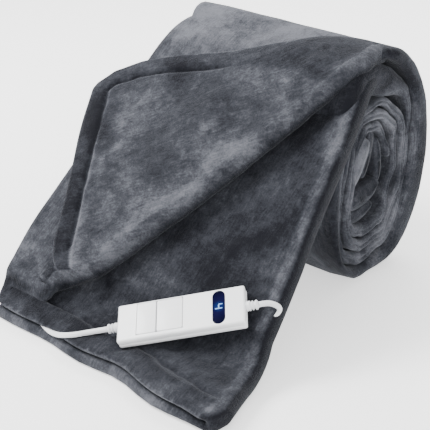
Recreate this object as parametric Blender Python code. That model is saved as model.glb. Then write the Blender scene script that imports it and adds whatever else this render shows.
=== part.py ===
"""Electric heated blanket, folded lengthwise and rolled, its loose tail drawn out over the floor.

The blanket is one cloth: a wound roll that lies along X, and four folded plies that leave its top,
slope down to the floor towards -Y and lie flat there. The near corner of the top ply is turned back
as a flap. The hand controller lies on the tail. One lead goes from it into the blanket's side edge,
and the mains lead goes through the crease of the tail to a tied coil and a plug behind the roll.

Metres, +Z up. The origin is on the floor under the axis of the roll.
"""
import math

import bmesh
import bpy
import numpy as np
from mathutils import Matrix, Vector

# Roll: its axis lies along X at y = 0
ROLL_NEAR_X = 0.150
ROLL_FAR_X = -0.153
ROLL_AXIS_Z = 0.139
ROLL_HALF_HEIGHT = 0.1455
ROLL_HALF_BACK = 0.111
ROLL_HALF_FRONT = 0.092
ROLL_SAG = 0.10               # the lower half is this much wider
ROLL_LUMP = 0.006             # its outline is this much uneven
ROLL_FAR_RISE = 0.0050        # its top is this much higher at the far end
ROLL_RIM = 0.008              # rounding of the outermost wrap at both ends
ROLL_RIM_SHARE = 0.08         # and the outer share of the section that it takes
ROLL_SIDES = 40
ROLL_WRAPS = 5
WRAP_RIDGE = 0.0035           # height of the plies' edges on the near end
EYE_DEPTH = 0.016
EYE_SHARE = 0.30
EYE_OFFSET_Y = -0.008

# Tail: four plies, one over the other
PLY = 0.0124
PLY_GAP = 0.0016
PLY_PITCH = PLY + PLY_GAP
FOLD_RADIUS = (PLY_PITCH + PLY) / 2
PATH_HALF_Y = 0.065           # the tail's underside, where it still lies on the roll
PATH_HALF_Z = 0.0988
RAMP_LEFT = math.radians(37.5)
RAMP_RIGHT = math.radians(42.3)
RAMP_LEFT_X, RAMP_RIGHT_X = -0.13, 0.19
LANDING_RADIUS = 0.085
TAIL_START = -0.062           # along the tail, from where it leaves the roll
TAIL_END = 0.404
TAIL_END_ROUND = 0.0050
TAIL_PRESS = (0.02, 0.11)     # the plies are this much thinner on the roll, and at its near end
END_SLANT = 0.28              # upper plies end a little short of the lower ones
END_FROM = 0.30               # where the end's slant and waves begin
END_WAVE, END_RIPPLE = 0.003, 0.0015
END_REACH = 0.0115            # the near corner reaches this much further
CORNER_FROM, CORNER_TO = 0.070, 0.170
CORNER_ROUND = 0.024          # radius of the near corner, seen from above
TOP_BACK = 0.026              # the two upper plies end this much short of the lower ones
TOP_FROM, TOP_TO = 0.020, 0.034           # heights between which that begins
FOLD_REACH = 0.060            # there the left fold keeps to the side's curve, felt this far in
EDGE_WAVE = 0.0015            # along the sides
FLAP_WAVE = 0.003
SIDE_S = (-0.062, 0.0, 0.207, 0.290, 0.350, 0.390, 0.404)
RIGHT_X = (0.139, 0.151, 0.184, 0.1925, 0.2115, 0.2255, 0.224)
LEFT_X = (-0.141, -0.152, -0.151, -0.151, -0.141, -0.119, -0.113)
BOTTOM_SHORT = 0.006          # the bottom ply's left edge stands back this much
FOLD_END_X = -0.053
FOLD_LINE = (0.132, -0.42, -0.19)         # x of the flap's fold: constant, by s and by s squared

# The flap's free edge: distance along the tail, and x there
FLAP_EDGE_S = (-0.062, -0.020, 0.026, 0.050, 0.074, 0.102, 0.385)
FLAP_EDGE_X = (0.120, 0.038, -0.087, -0.140, -0.170, -0.183, -0.050)

# Controller, in its own frame: length along X, width along Y, underside at z = 0
BOX_LENGTH = 0.1388
BOX_WIDTH = 0.0462
BOX_HEIGHT = 0.0140
BASE_HEIGHT = 0.0060
BOX_UNDERSIDE = Vector((0.1064, -0.2913, 0.0474))
BOX_ALONG = Vector((0.791, 0.560, 0.246))
BOX_UP = Vector((0.075, -0.488, 0.870))
SHELL_BEVEL, KEY_BEVEL = 0.0022, 0.0006
SEAT_CLEAR = 0.0020           # the cloth stands this far back round the controller
KEY_LEFT = (0.0214, 0.0430)   # from the controller's left end
KEY_RIGHT = (0.0436, 0.0721)
KEY_SIDE = (-0.0180, 0.0208)  # across the controller
KEY_THICK = 0.0024
KEY_PROUD = 0.0004
RECESS_DEPTH = 0.0036
WINDOW_CENTRE = 0.1111
WINDOW_WIDTH = 0.0134
WINDOW_LENGTH = 0.0410
WINDOW_THICK = 0.0016
CLEAR = 0.0003
SLIVER = 0.0002

# Leads
CORD = 0.0060
CHANNEL = 0.0070
RELIEF_DIAMETER = 0.0100
RELIEF_LENGTH = 0.0130
COIL_CENTRE = Vector((-0.2150, -0.0750, 0.0))
COIL_MEAN = 0.0350
COIL_COLUMNS, COIL_ROWS = 3, 2
COIL_LIFT = 0.0011
TIE_THICK = 0.0008
TIE_WIDTH = 0.0100
PLUG_REAR = Vector((-0.1860, -0.0003, 0.0070))
PLUG_WIDTH, PLUG_LENGTH, PLUG_THICK = 0.0350, 0.0360, 0.0140
PIN_DIAMETER, PIN_LENGTH, PIN_SPACING = 0.0040, 0.0190, 0.0190



def clear_scene():
    for item in list(bpy.data.objects):
        bpy.data.objects.remove(item)


def material(name, colour, roughness, metallic=0.0):
    made = bpy.data.materials.new(name)
    made.use_nodes = True
    shader = made.node_tree.nodes["Principled BSDF"]
    shader.inputs["Base Color"].default_value = (*colour, 1.0)
    shader.inputs["Roughness"].default_value = roughness
    shader.inputs["Metallic"].default_value = metallic
    return made


def add(name, data, look=None):
    item = bpy.data.objects.new(name, data)
    bpy.context.collection.objects.link(item)
    if look:
        data.materials.append(look)
    return item


def combine(item, target, operation="DIFFERENCE"):
    """Cuts item out of target, or joins it, and keeps item as a hidden guide."""
    item.hide_render = True
    item.display_type = "WIRE"
    step = target.modifiers.new(item.name, "BOOLEAN")
    step.operation = operation
    step.object = item


def settle(item):
    """Makes the combined form the object's own mesh, without the slivers that cuts leave."""
    seen = item.evaluated_get(bpy.context.evaluated_depsgraph_get())
    shape = bmesh.new()
    shape.from_mesh(seen.to_mesh())
    bmesh.ops.triangulate(shape, faces=shape.faces)
    bmesh.ops.dissolve_degenerate(shape, dist=SLIVER, edges=shape.edges)
    bmesh.ops.triangulate(shape, faces=shape.faces)
    mesh = mesh_of(shape)
    mesh.materials.append(item.data.materials[0])
    item.modifiers.clear()
    item.data = mesh


def mesh_of(shape, smooth=True):
    """Turns a bmesh into a mesh whose faces point out."""
    bmesh.ops.recalc_face_normals(shape, faces=shape.faces)
    mesh = bpy.data.meshes.new("shape")
    shape.to_mesh(mesh)
    shape.free()
    if smooth:
        mesh.shade_smooth()
        mesh.set_sharp_from_angle(angle=math.radians(40))
    return mesh


def loft(rings, first_pole=None, last_pole=None, ribbon=False):
    """Joins equal closed rings of points into one skin, closed at each end by a pole or a flat cap.
    A ribbon's cap runs between the points that face each other through its thickness."""
    shape = bmesh.new()
    loops = [[shape.verts.new(point) for point in ring] for ring in rings]
    count = len(loops[0])
    for lower, upper in zip(loops, loops[1:]):
        for i in range(count):
            j = (i + 1) % count
            shape.faces.new((lower[i], lower[j], upper[j], upper[i]))
    for loop, pole in ((loops[0], first_pole), (loops[-1], last_pole)):
        if ribbon:
            for i in range(count // 2 - 1):
                shape.faces.new((loop[i], loop[i + 1], loop[-2 - i], loop[-1 - i]))
            continue
        if pole is None:
            cap = shape.faces.new(loop)
            bmesh.ops.triangulate(shape, faces=[cap])
            continue
        tip = shape.verts.new(pole)
        for i in range(count):
            shape.faces.new((loop[i], loop[(i + 1) % count], tip))
    return shape


# The roll

def roll_point(turn, share):
    """A point of the roll's section: turn is 0 at the top and grows towards the front (-Y)."""
    half = ROLL_HALF_FRONT if math.sin(turn) > 0 else ROLL_HALF_BACK
    lump = 1.0 + ROLL_LUMP * math.sin(3 * turn + 1.0) + ROLL_SAG * max(0.0, -math.cos(turn)) ** 2
    y = -half * math.sin(turn) * lump
    z = max(0.0, ROLL_AXIS_Z + ROLL_HALF_HEIGHT * math.cos(turn))
    eye = Vector((EYE_OFFSET_Y, ROLL_AXIS_Z))
    return eye + share * (Vector((y, z)) - eye)


def roll_ring(share, x_at):
    points = []
    for i in range(ROLL_SIDES):
        turn = 2 * math.pi * i / ROLL_SIDES
        y, z = roll_point(turn, share)
        x = x_at(turn)
        rise = ROLL_FAR_RISE * (ROLL_NEAR_X - x) / (ROLL_NEAR_X - ROLL_FAR_X)
        points.append((x, y, z + rise * share * max(0.0, math.cos(turn))))
    return points


def wound_end(share, turn):
    """How far the roll's end stands back at a place: the plies' edges, and a hollow at the eye."""
    outer = max(0.0, (share - 1 + ROLL_RIM_SHARE) / ROLL_RIM_SHARE)
    rim = ROLL_RIM * (1 - math.sqrt(max(0.0, 1 - outer * outer)))
    ridge = WRAP_RIDGE * (0.5 - 0.5 * math.cos(2 * math.pi * (ROLL_WRAPS * share + turn / (2 * math.pi))))
    eye = EYE_DEPTH * max(0.0, 1 - share / EYE_SHARE) ** 0.8
    return rim + ridge * min(1.0, (1 - share) / 0.1) + eye


def build_roll():
    rings = []
    far_shares = [0.08 + 0.92 * i / 9 for i in range(10)]
    near_shares = [1.0, 0.985, 0.96] + [0.93 - 0.87 * i / 17 for i in range(18)]
    for share in far_shares:
        rings.append(roll_ring(share, lambda turn, s=share: ROLL_FAR_X + 0.6 * wound_end(s, 0.7)))
    for x in (-0.10, -0.03, 0.04, 0.11):
        rings.append(roll_ring(1.0, lambda turn, here=x: here))
    for share in near_shares:
        rings.append(roll_ring(share, lambda turn, s=share: ROLL_NEAR_X - wound_end(s, turn)))
    eye_y, eye_z = roll_point(0.0, 0.0)
    far_tip = (ROLL_FAR_X + 0.5 * EYE_DEPTH, eye_y, eye_z)
    near_tip = (ROLL_NEAR_X - EYE_DEPTH, eye_y, eye_z)
    return mesh_of(loft(rings, far_tip, near_tip))


# The tail

TURNS = np.radians(np.linspace(-60.0, 60.0, 601))
ARC_HALF_Y = PATH_HALF_Y + 1.5 * PLY_PITCH
ARC_HALF_Z = PATH_HALF_Z + 1.5 * PLY_PITCH
SPEED = np.hypot(ARC_HALF_Y * np.cos(TURNS), ARC_HALF_Z * np.sin(TURNS))
ARC = np.concatenate(([0.0], np.cumsum((SPEED[1:] + SPEED[:-1]) / 2 * np.diff(TURNS))))


def eased(value, first, last):
    """0 before first and 1 after last, with a smooth way between them."""
    share = min(1.0, max(0.0, (value - first) / (last - first)))
    return share * share * (3 - 2 * share)


def ramp_angle(x):
    share = min(1.2, max(-0.2, (x - RAMP_LEFT_X) / (RAMP_RIGHT_X - RAMP_LEFT_X)))
    return RAMP_LEFT + (RAMP_RIGHT - RAMP_LEFT) * share


def leaving_turn(slope):
    return math.atan(PATH_HALF_Y / PATH_HALF_Z * math.tan(slope))


ARC_ZERO = float(np.interp(leaving_turn((RAMP_LEFT + RAMP_RIGHT) / 2), TURNS, ARC))


def tail_point(x, s, height):
    """A point at a height above the tail's underside, s along the tail from where it leaves the roll."""
    height *= 1 - eased(s, 0.030, -0.060) * (TAIL_PRESS[0] + (TAIL_PRESS[1] - TAIL_PRESS[0]) * eased(x, 0.040, 0.140))
    slope = ramp_angle(x)
    leave = leaving_turn(slope)
    beyond = s + ARC_ZERO - float(np.interp(leave, TURNS, ARC))
    if beyond <= 0:
        turn = float(np.interp(s + ARC_ZERO, ARC, TURNS))
        y = -PATH_HALF_Y * math.sin(turn)
        z = ROLL_AXIS_Z + PATH_HALF_Z * math.cos(turn)
        out = Vector((-PATH_HALF_Z * math.sin(turn), PATH_HALF_Y * math.cos(turn))).normalized()
        return Vector((x, y + out.x * height, z + out.y * height))
    top_y = -PATH_HALF_Y * math.sin(leave)
    top_z = ROLL_AXIS_Z + PATH_HALF_Z * math.cos(leave)
    run = top_z / math.sin(slope)
    tangent = LANDING_RADIUS * math.tan(slope / 2)
    straight = run - tangent
    bend = (LANDING_RADIUS - 1.5 * PLY_PITCH) * slope
    if beyond <= straight:
        y, z, tilt = top_y - beyond * math.cos(slope), top_z - beyond * math.sin(slope), slope
    elif beyond <= straight + bend:
        tilt = slope * (1 - (beyond - straight) / bend)
        y = top_y - run * math.cos(slope) - tangent + LANDING_RADIUS * math.sin(tilt)
        z = LANDING_RADIUS * (1 - math.cos(tilt))
    else:
        y = top_y - run * math.cos(slope) - tangent - (beyond - straight - bend)
        z, tilt = 0.0, 0.0
    return Vector((x, y - height * math.sin(tilt), z + height * math.cos(tilt)))


def right_edge(s):
    return float(np.interp(s, SIDE_S, RIGHT_X)) + EDGE_WAVE * math.sin(28 * s)


def left_edge(s):
    return float(np.interp(s, SIDE_S, LEFT_X)) + EDGE_WAVE * math.sin(23 * s + 1)


def flap_fold(s):
    line = FOLD_LINE[0] + FOLD_LINE[1] * s + FOLD_LINE[2] * s * s
    return max(FOLD_END_X, min(right_edge(s) - 0.001, line))


def flap_edge(s):
    free = float(np.interp(s, FLAP_EDGE_S, FLAP_EDGE_X)) + FLAP_WAVE * math.sin(30 * s)
    return min(free, flap_fold(s) - FOLD_RADIUS - PLY)


def arc_points(centre_x, centre_h, radius, first, last, steps):
    points = []
    for i in range(steps + 1):
        angle = math.radians(first + (last - first) * i / steps)
        points.append((centre_x + radius * math.cos(angle), centre_h + radius * math.sin(angle)))
    return points


def row(first_x, last_x, height, steps):
    """Points between two places of a ply's face, without its ends."""
    return [(first_x + (last_x - first_x) * i / steps, height) for i in range(1, steps)]


def plies_section(s, thin):
    """The plies' closed outline across the tail: back and forth from the bottom ply to the flap, and
    back along their other side, so that point i faces point -1 - i through the cloth."""
    right, left = right_edge(s) - FOLD_RADIUS, left_edge(s) + FOLD_RADIUS
    fold, free = flap_fold(s) - FOLD_RADIUS, flap_edge(s) + PLY / 2
    bottom_left = left - BOTTOM_SHORT
    sides = []
    for outside in (True, False):
        wide, tight = FOLD_RADIUS - thin, PLY_GAP / 2 + thin
        low, high = (thin, PLY - thin) if outside else (PLY - thin, thin)
        radii = (wide, tight, wide) if outside else (tight, wide, tight)
        middle = [FOLD_RADIUS + PLY_PITCH * level for level in range(3)]
        face = [PLY_PITCH * level + (low, high)[level % 2] for level in range(4)]
        edge = PLY / 2 - thin
        sign = -1 if outside else 1
        side = arc_points(bottom_left, PLY / 2, edge, 180 - 30 * sign, 180 - 90 * sign, 1)
        side += row(bottom_left, right, face[0], 3)
        side += arc_points(right, middle[0], radii[0], -90, 90, 4)
        side += row(right, left, face[1], 6)
        side += arc_points(left, middle[1], radii[1], 270, 90, 4)
        side += row(left, fold, face[2], 3)
        side += arc_points(fold, middle[2], radii[2], -90, 90, 4)
        side += row(fold, free, face[3], 5)
        side += arc_points(free, 3 * PLY_PITCH + PLY / 2, edge, 180 + 90 * sign, 180 + 30 * sign, 1)
        sides.append(side)
    return sides[0] + sides[1][::-1]


def end_shift(x, s, height):
    """How far a place near the tail's end lies beyond a straight end."""
    corner = eased(x, CORNER_FROM, CORNER_TO)
    wave = END_WAVE * math.sin(26 * x + 0.5) + END_RIPPLE * math.sin(61 * x)
    past = max(0.0, (x - right_edge(s) + CORNER_ROUND) / CORNER_ROUND)
    rounded = CORNER_ROUND * (1 - math.sqrt(max(0.0, 1 - past * past)))
    back = TOP_BACK * eased(height, TOP_FROM, TOP_TO)
    return eased(s, END_FROM, TAIL_END) * (wave + END_REACH * corner - END_SLANT * height * (1 - 1.6 * corner)
                                           - back - 0.8 * rounded)


def build_tail():
    round_end = TAIL_END_ROUND
    inside = [TAIL_START + round_end * k for k in (0.0, 0.35, 1.0)]
    along = list(np.linspace(TAIL_START + 0.018, TAIL_END - 0.012, 25))
    edge = [TAIL_END - round_end * k for k in (1.0, 0.35, 0.0)]
    rings = []
    for s in inside + along + edge:
        to_end = min(s - TAIL_START, TAIL_END - s)
        bulge = max(0.0, 1 - to_end / round_end)
        thin = (PLY / 2) * 0.75 * (1 - math.sqrt(max(0.0, 1 - bulge * bulge)))
        ring = []
        for x, height in plies_section(s, thin):
            shift, left = end_shift(x, s, height), left_edge(s)
            out = (left_edge(s + shift) - left) * eased(x, left + FOLD_REACH, left)
            ring.append(tail_point(x + out, s + shift, height))
        rings.append(ring)
    return mesh_of(loft(rings, ribbon=True))


# Curves and leads

def smooth_route(points, spacing):
    """Evenly spaced points of a smooth curve through a few given ones."""
    given = [Vector(point) for point in points]
    ends = [2 * given[0] - given[1]] + given + [2 * given[-1] - given[-2]]
    fine = []
    for a, b, c, d in zip(ends, ends[1:], ends[2:], ends[3:]):
        for k in range(20):
            t = k / 20
            fine.append(0.5 * (2 * b + (c - a) * t + (2 * a - 5 * b + 4 * c - d) * t * t
                               + (3 * b - a - 3 * c + d) * t ** 3))
    fine.append(given[-1])
    gone = [0.0]
    for p, q in zip(fine, fine[1:]):
        gone.append(gone[-1] + (q - p).length)
    steps = max(2, round(gone[-1] / spacing))
    where = np.linspace(0.0, gone[-1], steps + 1)
    axes = [np.interp(where, gone, [p[axis] for p in fine]) for axis in range(3)]
    return [Vector(p) for p in zip(*axes)]


def tube(name, route, diameter, look=None):
    curve = bpy.data.curves.new(name, "CURVE")
    curve.dimensions = "3D"
    curve.bevel_depth = diameter / 2
    curve.bevel_resolution = 2
    curve.use_fill_caps = True
    spline = curve.splines.new("POLY")
    spline.points.add(len(route) - 1)
    for point, place in zip(spline.points, route):
        point.co = (*place, 1.0)
    return add(name, curve, look)


def channel(name, route, diameter):
    """A closed mesh around a lead's route, to press or cut the lead's way into the cloth."""
    guide = tube(name + "_guide", route, diameter)
    seen = guide.evaluated_get(bpy.context.evaluated_depsgraph_get())
    shape = bmesh.new()
    shape.from_mesh(seen.to_mesh())
    bmesh.ops.remove_doubles(shape, verts=shape.verts, dist=0.000001)
    bpy.data.objects.remove(guide)
    return add(name, mesh_of(shape))


# Controller

def controller_frame():
    """The controller's axes: length, width and the way its top faces, with the middle of its underside."""
    along = BOX_ALONG.normalized()
    across = BOX_UP.cross(along).normalized()
    turn = Matrix((along, across, along.cross(across))).transposed().to_4x4()
    return Matrix.Translation(BOX_UNDERSIDE) @ turn


def block(low, high, bevel=0.0):
    """A box between two corners, its edges rounded."""
    shape = bmesh.new()
    bmesh.ops.create_cube(shape, size=1.0)
    size, middle = Vector(high) - Vector(low), (Vector(high) + Vector(low)) / 2
    bmesh.ops.scale(shape, vec=size, verts=shape.verts)
    bmesh.ops.translate(shape, vec=middle, verts=shape.verts)
    if bevel:
        bmesh.ops.bevel(shape, geom=list(shape.edges), offset=bevel, segments=3, profile=0.5, affect="EDGES")
    return mesh_of(shape)


def pill(width, length, low, high):
    """An upright plate with round ends, its length across the controller."""
    straight = (length - width) / 2
    outline = arc_points(0.0, straight, width / 2, 0, 180, 10) + arc_points(0.0, -straight, width / 2, 180, 360, 10)
    rings = [[(x, y, z) for x, y in outline] for z in (low, high)]
    return mesh_of(loft(rings))


def along_box(distance):
    return distance - BOX_LENGTH / 2


def build_controller(root, white, key_white, navy):
    half = BOX_LENGTH / 2
    side = BOX_WIDTH / 2
    base = add("controller_base", block((-half, -side, 0.0), (half, side, BASE_HEIGHT), SHELL_BEVEL), white)
    cover = add("controller_cover",
                block((-half, -side, BASE_HEIGHT + CLEAR), (half, side, BOX_HEIGHT), SHELL_BEVEL), white)
    window_x = along_box(WINDOW_CENTRE)
    pocket = add("window_pocket", pill(WINDOW_WIDTH + 2 * CLEAR, WINDOW_LENGTH + 2 * CLEAR,
                                       BOX_HEIGHT - WINDOW_THICK - CLEAR, BOX_HEIGHT + 0.01))
    pocket.location.x = window_x
    recess = add("key_recess", block((along_box(KEY_LEFT[0]) - CLEAR, KEY_SIDE[0] - CLEAR, BOX_HEIGHT - RECESS_DEPTH),
                                     (along_box(KEY_RIGHT[1]) + CLEAR, KEY_SIDE[1] + CLEAR, BOX_HEIGHT + 0.01)))
    window = add("display_window", pill(WINDOW_WIDTH, WINDOW_LENGTH, 0.0, WINDOW_THICK - 0.0002), navy)
    window.location = (window_x, 0.0, BOX_HEIGHT - WINDOW_THICK)
    pieces = [base, cover, pocket, recess, window]
    for name, (first, last) in (("key_left", KEY_LEFT), ("key_right", KEY_RIGHT)):
        wide, deep = last - first, KEY_SIDE[1] - KEY_SIDE[0]
        key = add(name, block((-wide / 2, -deep / 2, -KEY_THICK), (wide / 2, deep / 2, 0.0), KEY_BEVEL), key_white)
        key.location = (along_box((first + last) / 2), sum(KEY_SIDE) / 2, BOX_HEIGHT + KEY_PROUD)
        pieces.append(key)
    for item in pieces:
        item.parent = root
    combine(pocket, cover)
    combine(recess, cover)


def build_relief(name, root, direction, look):
    """A ribbed sleeve where a lead leaves the controller's end: a collar and three rings."""
    profile = []
    for share, radius in ((0.0, 1.0), (0.20, 1.0), (0.24, 0.66), (0.36, 0.66), (0.40, 0.9), (0.54, 0.9),
                          (0.58, 0.62), (0.68, 0.62), (0.72, 0.8), (0.84, 0.8), (0.88, 0.6), (1.0, 0.56)):
        profile.append((share * RELIEF_LENGTH, radius * RELIEF_DIAMETER / 2))
    rings = []
    for out, radius in profile:
        rings.append([(out, radius * math.cos(a), radius * math.sin(a))
                      for a in (2 * math.pi * i / 16 for i in range(16))])
    sleeve = add(name, mesh_of(loft(rings)), look)
    sleeve.location = (direction * (BOX_LENGTH / 2 + CLEAR), 0.0, 0.0)
    sleeve.location.z = BOX_HEIGHT / 2
    sleeve.rotation_euler.z = 0.0 if direction > 0 else math.pi
    sleeve.parent = root


def lead_exit(frame, direction, beyond):
    out = BOX_LENGTH / 2 + 2 * CLEAR + RELIEF_LENGTH + beyond
    return frame @ Vector((direction * out, 0.0, BOX_HEIGHT / 2))


# Coil, tie and plug

def turned_ring(inner, outer, low, high, round_by):
    """A ring about Z with a round-cornered section."""
    section = []
    for x, z, first in ((outer - round_by, high - round_by, 90), (inner + round_by, high - round_by, 180),
                        (inner + round_by, low + round_by, 270), (outer - round_by, low + round_by, 360)):
        section += arc_points(x, z, round_by, first - 90, first, 3)
    rings = []
    for i in range(32):
        turn = 2 * math.pi * i / 32
        rings.append([(r * math.cos(turn), r * math.sin(turn), z) for r, z in section])
    shape = bmesh.new()
    loops = [[shape.verts.new(point) for point in ring] for ring in rings]
    count = len(section)
    for lower, upper in zip(loops, loops[1:] + loops[:1]):
        for i in range(count):
            j = (i + 1) % count
            shape.faces.new((lower[i], lower[j], upper[j], upper[i]))
    return mesh_of(shape)


def build_coil(white, tie_look):
    wide, tall = CORD * COIL_COLUMNS, CORD * COIL_ROWS
    coil = add("mains_coil", turned_ring(COIL_MEAN - wide / 2, COIL_MEAN + wide / 2, COIL_LIFT,
                                         COIL_LIFT + tall, CORD / 2), white)
    coil.location = COIL_CENTRE
    sagitta = TIE_WIDTH * TIE_WIDTH / (8 * (COIL_MEAN - wide / 2))
    inner = (wide / 2 + CLEAR + sagitta, tall / 2 + CLEAR)
    outer = (inner[0] + TIE_THICK, inner[1] + TIE_THICK)
    band = block((-outer[0], -TIE_WIDTH / 2, -outer[1]), (outer[0], TIE_WIDTH / 2, outer[1]))
    tie = add("cord_tie", band, tie_look)
    hole = add("tie_hole", block((-inner[0], -TIE_WIDTH, -inner[1]), (inner[0], TIE_WIDTH, inner[1])))
    for item in (tie, hole):
        item.location = COIL_CENTRE + Vector((-COIL_MEAN, 0.0, COIL_LIFT + tall / 2))
    combine(hole, tie)


def build_plug(white, metal):
    half = PLUG_WIDTH / 2
    outline = [(-0.006, 0.0), (0.006, 0.0), (0.009, 0.010), (half, 0.022), (half, PLUG_LENGTH),
               (-half, PLUG_LENGTH), (-half, 0.022), (-0.009, 0.010)]
    rings = []
    for z, inset in ((-0.5, 0.8), (-0.38, 1.0), (0.38, 1.0), (0.5, 0.8)):
        rings.append([(x * inset, y, z * PLUG_THICK) for x, y in outline])
    body = add("plug_body", mesh_of(loft(rings)), white)
    body.location = PLUG_REAR
    for name, offset in (("plug_pin_left", -1), ("plug_pin_right", 1)):
        shape = bmesh.new()
        bmesh.ops.create_cone(shape, cap_ends=True, segments=16, radius1=PIN_DIAMETER / 2,
                              radius2=PIN_DIAMETER / 2, depth=PIN_LENGTH)
        pin = add(name, mesh_of(shape), metal)
        pin.rotation_euler.x = math.radians(90)
        out = PLUG_LENGTH + CLEAR + PIN_LENGTH / 2
        pin.location = PLUG_REAR + Vector((offset * PIN_SPACING / 2, out, 0.0))


def main():
    clear_scene()
    cloth = material("plush_grey", (0.085, 0.092, 0.115), 0.95)
    white = material("white_plastic", (0.80, 0.82, 0.84), 0.40)
    key_white = material("key_plastic", (0.84, 0.86, 0.88), 0.35)
    navy = material("window_plastic", (0.010, 0.012, 0.080), 0.12)
    lead_white = material("lead_white", (0.78, 0.79, 0.80), 0.45)
    metal = material("pin_nickel", (0.65, 0.64, 0.62), 0.25, 1.0)
    tie_look = material("tie_grey", (0.12, 0.12, 0.13), 0.6)

    blanket = add("blanket", build_tail(), cloth)
    combine(add("roll_form", build_roll()), blanket, "UNION")

    frame = controller_frame()
    root = add("controller_place", None)
    root.matrix_world = frame
    build_controller(root, white, key_white, navy)
    build_relief("strain_relief_left", root, -1, lead_white)
    build_relief("strain_relief_right", root, 1, lead_white)
    seat_x, seat_y = BOX_LENGTH / 2 + SEAT_CLEAR, BOX_WIDTH / 2 + SEAT_CLEAR
    seat = add("controller_seat", block((-seat_x, -seat_y, -CLEAR), (seat_x, seat_y, 0.05)))
    seat.parent = root
    combine(seat, blanket)

    for side, direction in (("left", -1), ("right", 1)):
        sleeve_way = [lead_exit(frame, direction, -RELIEF_LENGTH), lead_exit(frame, direction, 0.001)]
        way = channel("sleeve_way_" + side, sleeve_way, RELIEF_DIAMETER + 0.002)
        combine(way, blanket)

    mains_route = [lead_exit(frame, -1, 0.0), lead_exit(frame, -1, 0.006), (0.0253, -0.3515, 0.0278),
                   (0.0126, -0.3620, 0.0243), (0.0000, -0.3660, 0.0203), (-0.0120, -0.3665, 0.0166),
                   (-0.0250, -0.3645, 0.0138), (-0.0400, -0.3605, 0.0130), (-0.0650, -0.3530, 0.0130),
                   (-0.0950, -0.3480, 0.0130), (-0.1200, -0.3430, 0.0125), (-0.1390, -0.3330, 0.0085),
                   (-0.1520, -0.3130, 0.0040), (-0.1610, -0.2850, 0.0031), (-0.1680, -0.2450, 0.0031),
                   (-0.1740, -0.2000, 0.0031), (-0.1785, -0.1500, 0.0031), (-0.1785, -0.1041, 0.0043)]
    mains = smooth_route(mains_route, 2.2 * CORD)
    tube("mains_lead", mains, CORD, lead_white)
    combine(channel("mains_channel", mains[1:-16], CHANNEL), blanket)

    blanket_route = [lead_exit(frame, 1, 0.0002), lead_exit(frame, 1, 0.004), (0.1800, -0.2418, 0.0776),
                     (0.1870, -0.2375, 0.0762), (0.1918, -0.2365, 0.0712), (0.1932, -0.2412, 0.0664),
                     (0.1915, -0.2478, 0.0630), (0.1880, -0.2530, 0.0585), (0.1855, -0.2560, 0.0530)]
    side_lead = smooth_route(blanket_route, 1.2 * CORD)
    tube("blanket_lead", side_lead, CORD, lead_white)
    side_way = side_lead + [side_lead[-1] + 0.3 * (side_lead[-1] - side_lead[-2])]
    side_way[0] = lead_exit(frame, 1, -0.002)
    combine(channel("blanket_lead_way", side_way, CHANNEL), blanket)
    settle(blanket)

    end_route = [(-0.1785, -0.0460, 0.0085), (-0.1800, -0.0300, 0.0079), (-0.1840, -0.0180, 0.0072),
                 PLUG_REAR - Vector((0.0, 0.008, 0.0)), PLUG_REAR - Vector((0.0, 3 * CLEAR, 0.0))]
    tube("mains_lead_end", smooth_route(end_route, 1.5 * CORD), CORD, lead_white)
    build_coil(lead_white, tie_look)
    build_plug(white, metal)


main()
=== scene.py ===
"""Electric heated blanket: folded lengthwise and rolled, with its loose tail and hand controller in front."""
import math

import bmesh
import bpy
import numpy as np
from mathutils import Matrix, Vector, kdtree, noise


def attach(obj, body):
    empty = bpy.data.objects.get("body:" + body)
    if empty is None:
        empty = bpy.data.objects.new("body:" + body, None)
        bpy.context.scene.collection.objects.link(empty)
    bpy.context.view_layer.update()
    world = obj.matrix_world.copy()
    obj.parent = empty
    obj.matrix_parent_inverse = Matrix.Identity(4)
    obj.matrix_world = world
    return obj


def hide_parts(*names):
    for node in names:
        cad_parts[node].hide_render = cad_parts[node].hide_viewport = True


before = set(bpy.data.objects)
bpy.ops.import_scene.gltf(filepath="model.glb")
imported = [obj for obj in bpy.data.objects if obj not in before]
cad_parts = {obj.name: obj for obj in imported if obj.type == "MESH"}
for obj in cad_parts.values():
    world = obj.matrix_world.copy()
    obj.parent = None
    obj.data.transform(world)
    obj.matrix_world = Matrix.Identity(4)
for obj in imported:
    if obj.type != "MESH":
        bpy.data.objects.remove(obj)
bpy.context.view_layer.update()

# ---------------------------------------------------------------- studio
# The photograph's camera, a white surround with three soft area lights (the key light stands above and to the
# left of the camera), and a plain pale floor.

PHOTO_WIDTH, FOCAL_LENGTH = 430.0, 1100.0  # both in the photograph's pixels
SENSOR_WIDTH = 36.0
camera_data = bpy.data.cameras.new("camera")
camera_data.sensor_width = SENSOR_WIDTH
camera_data.lens = SENSOR_WIDTH * FOCAL_LENGTH / PHOTO_WIDTH
camera = bpy.data.objects.new("camera", camera_data)
bpy.context.collection.objects.link(camera)
CAMERA_PLACE = (0.7962, -1.0144, 0.6413)
CAMERA_TURNED, CAMERA_RAISED = 41.78, 25.25  # degrees: from looking along +Y, and down
turned, raised = math.radians(CAMERA_TURNED), math.radians(CAMERA_RAISED)
looks_along = Vector((-math.sin(turned) * math.cos(raised), math.cos(turned) * math.cos(raised),
                      -math.sin(raised)))
camera.location = CAMERA_PLACE
camera.rotation_euler = looks_along.to_track_quat("-Z", "Y").to_euler()
bpy.context.scene.camera = camera

WORLD_STRENGTH = 1.05
world = bpy.data.worlds.new("studio")
world.use_nodes = True
world.node_tree.nodes["Background"].inputs["Color"].default_value = (1.0, 1.0, 1.0, 1.0)
world.node_tree.nodes["Background"].inputs["Strength"].default_value = WORLD_STRENGTH
bpy.context.scene.world = world

LIGHTS_FACE = Vector((0.0, -0.1, 0.1))
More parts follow.
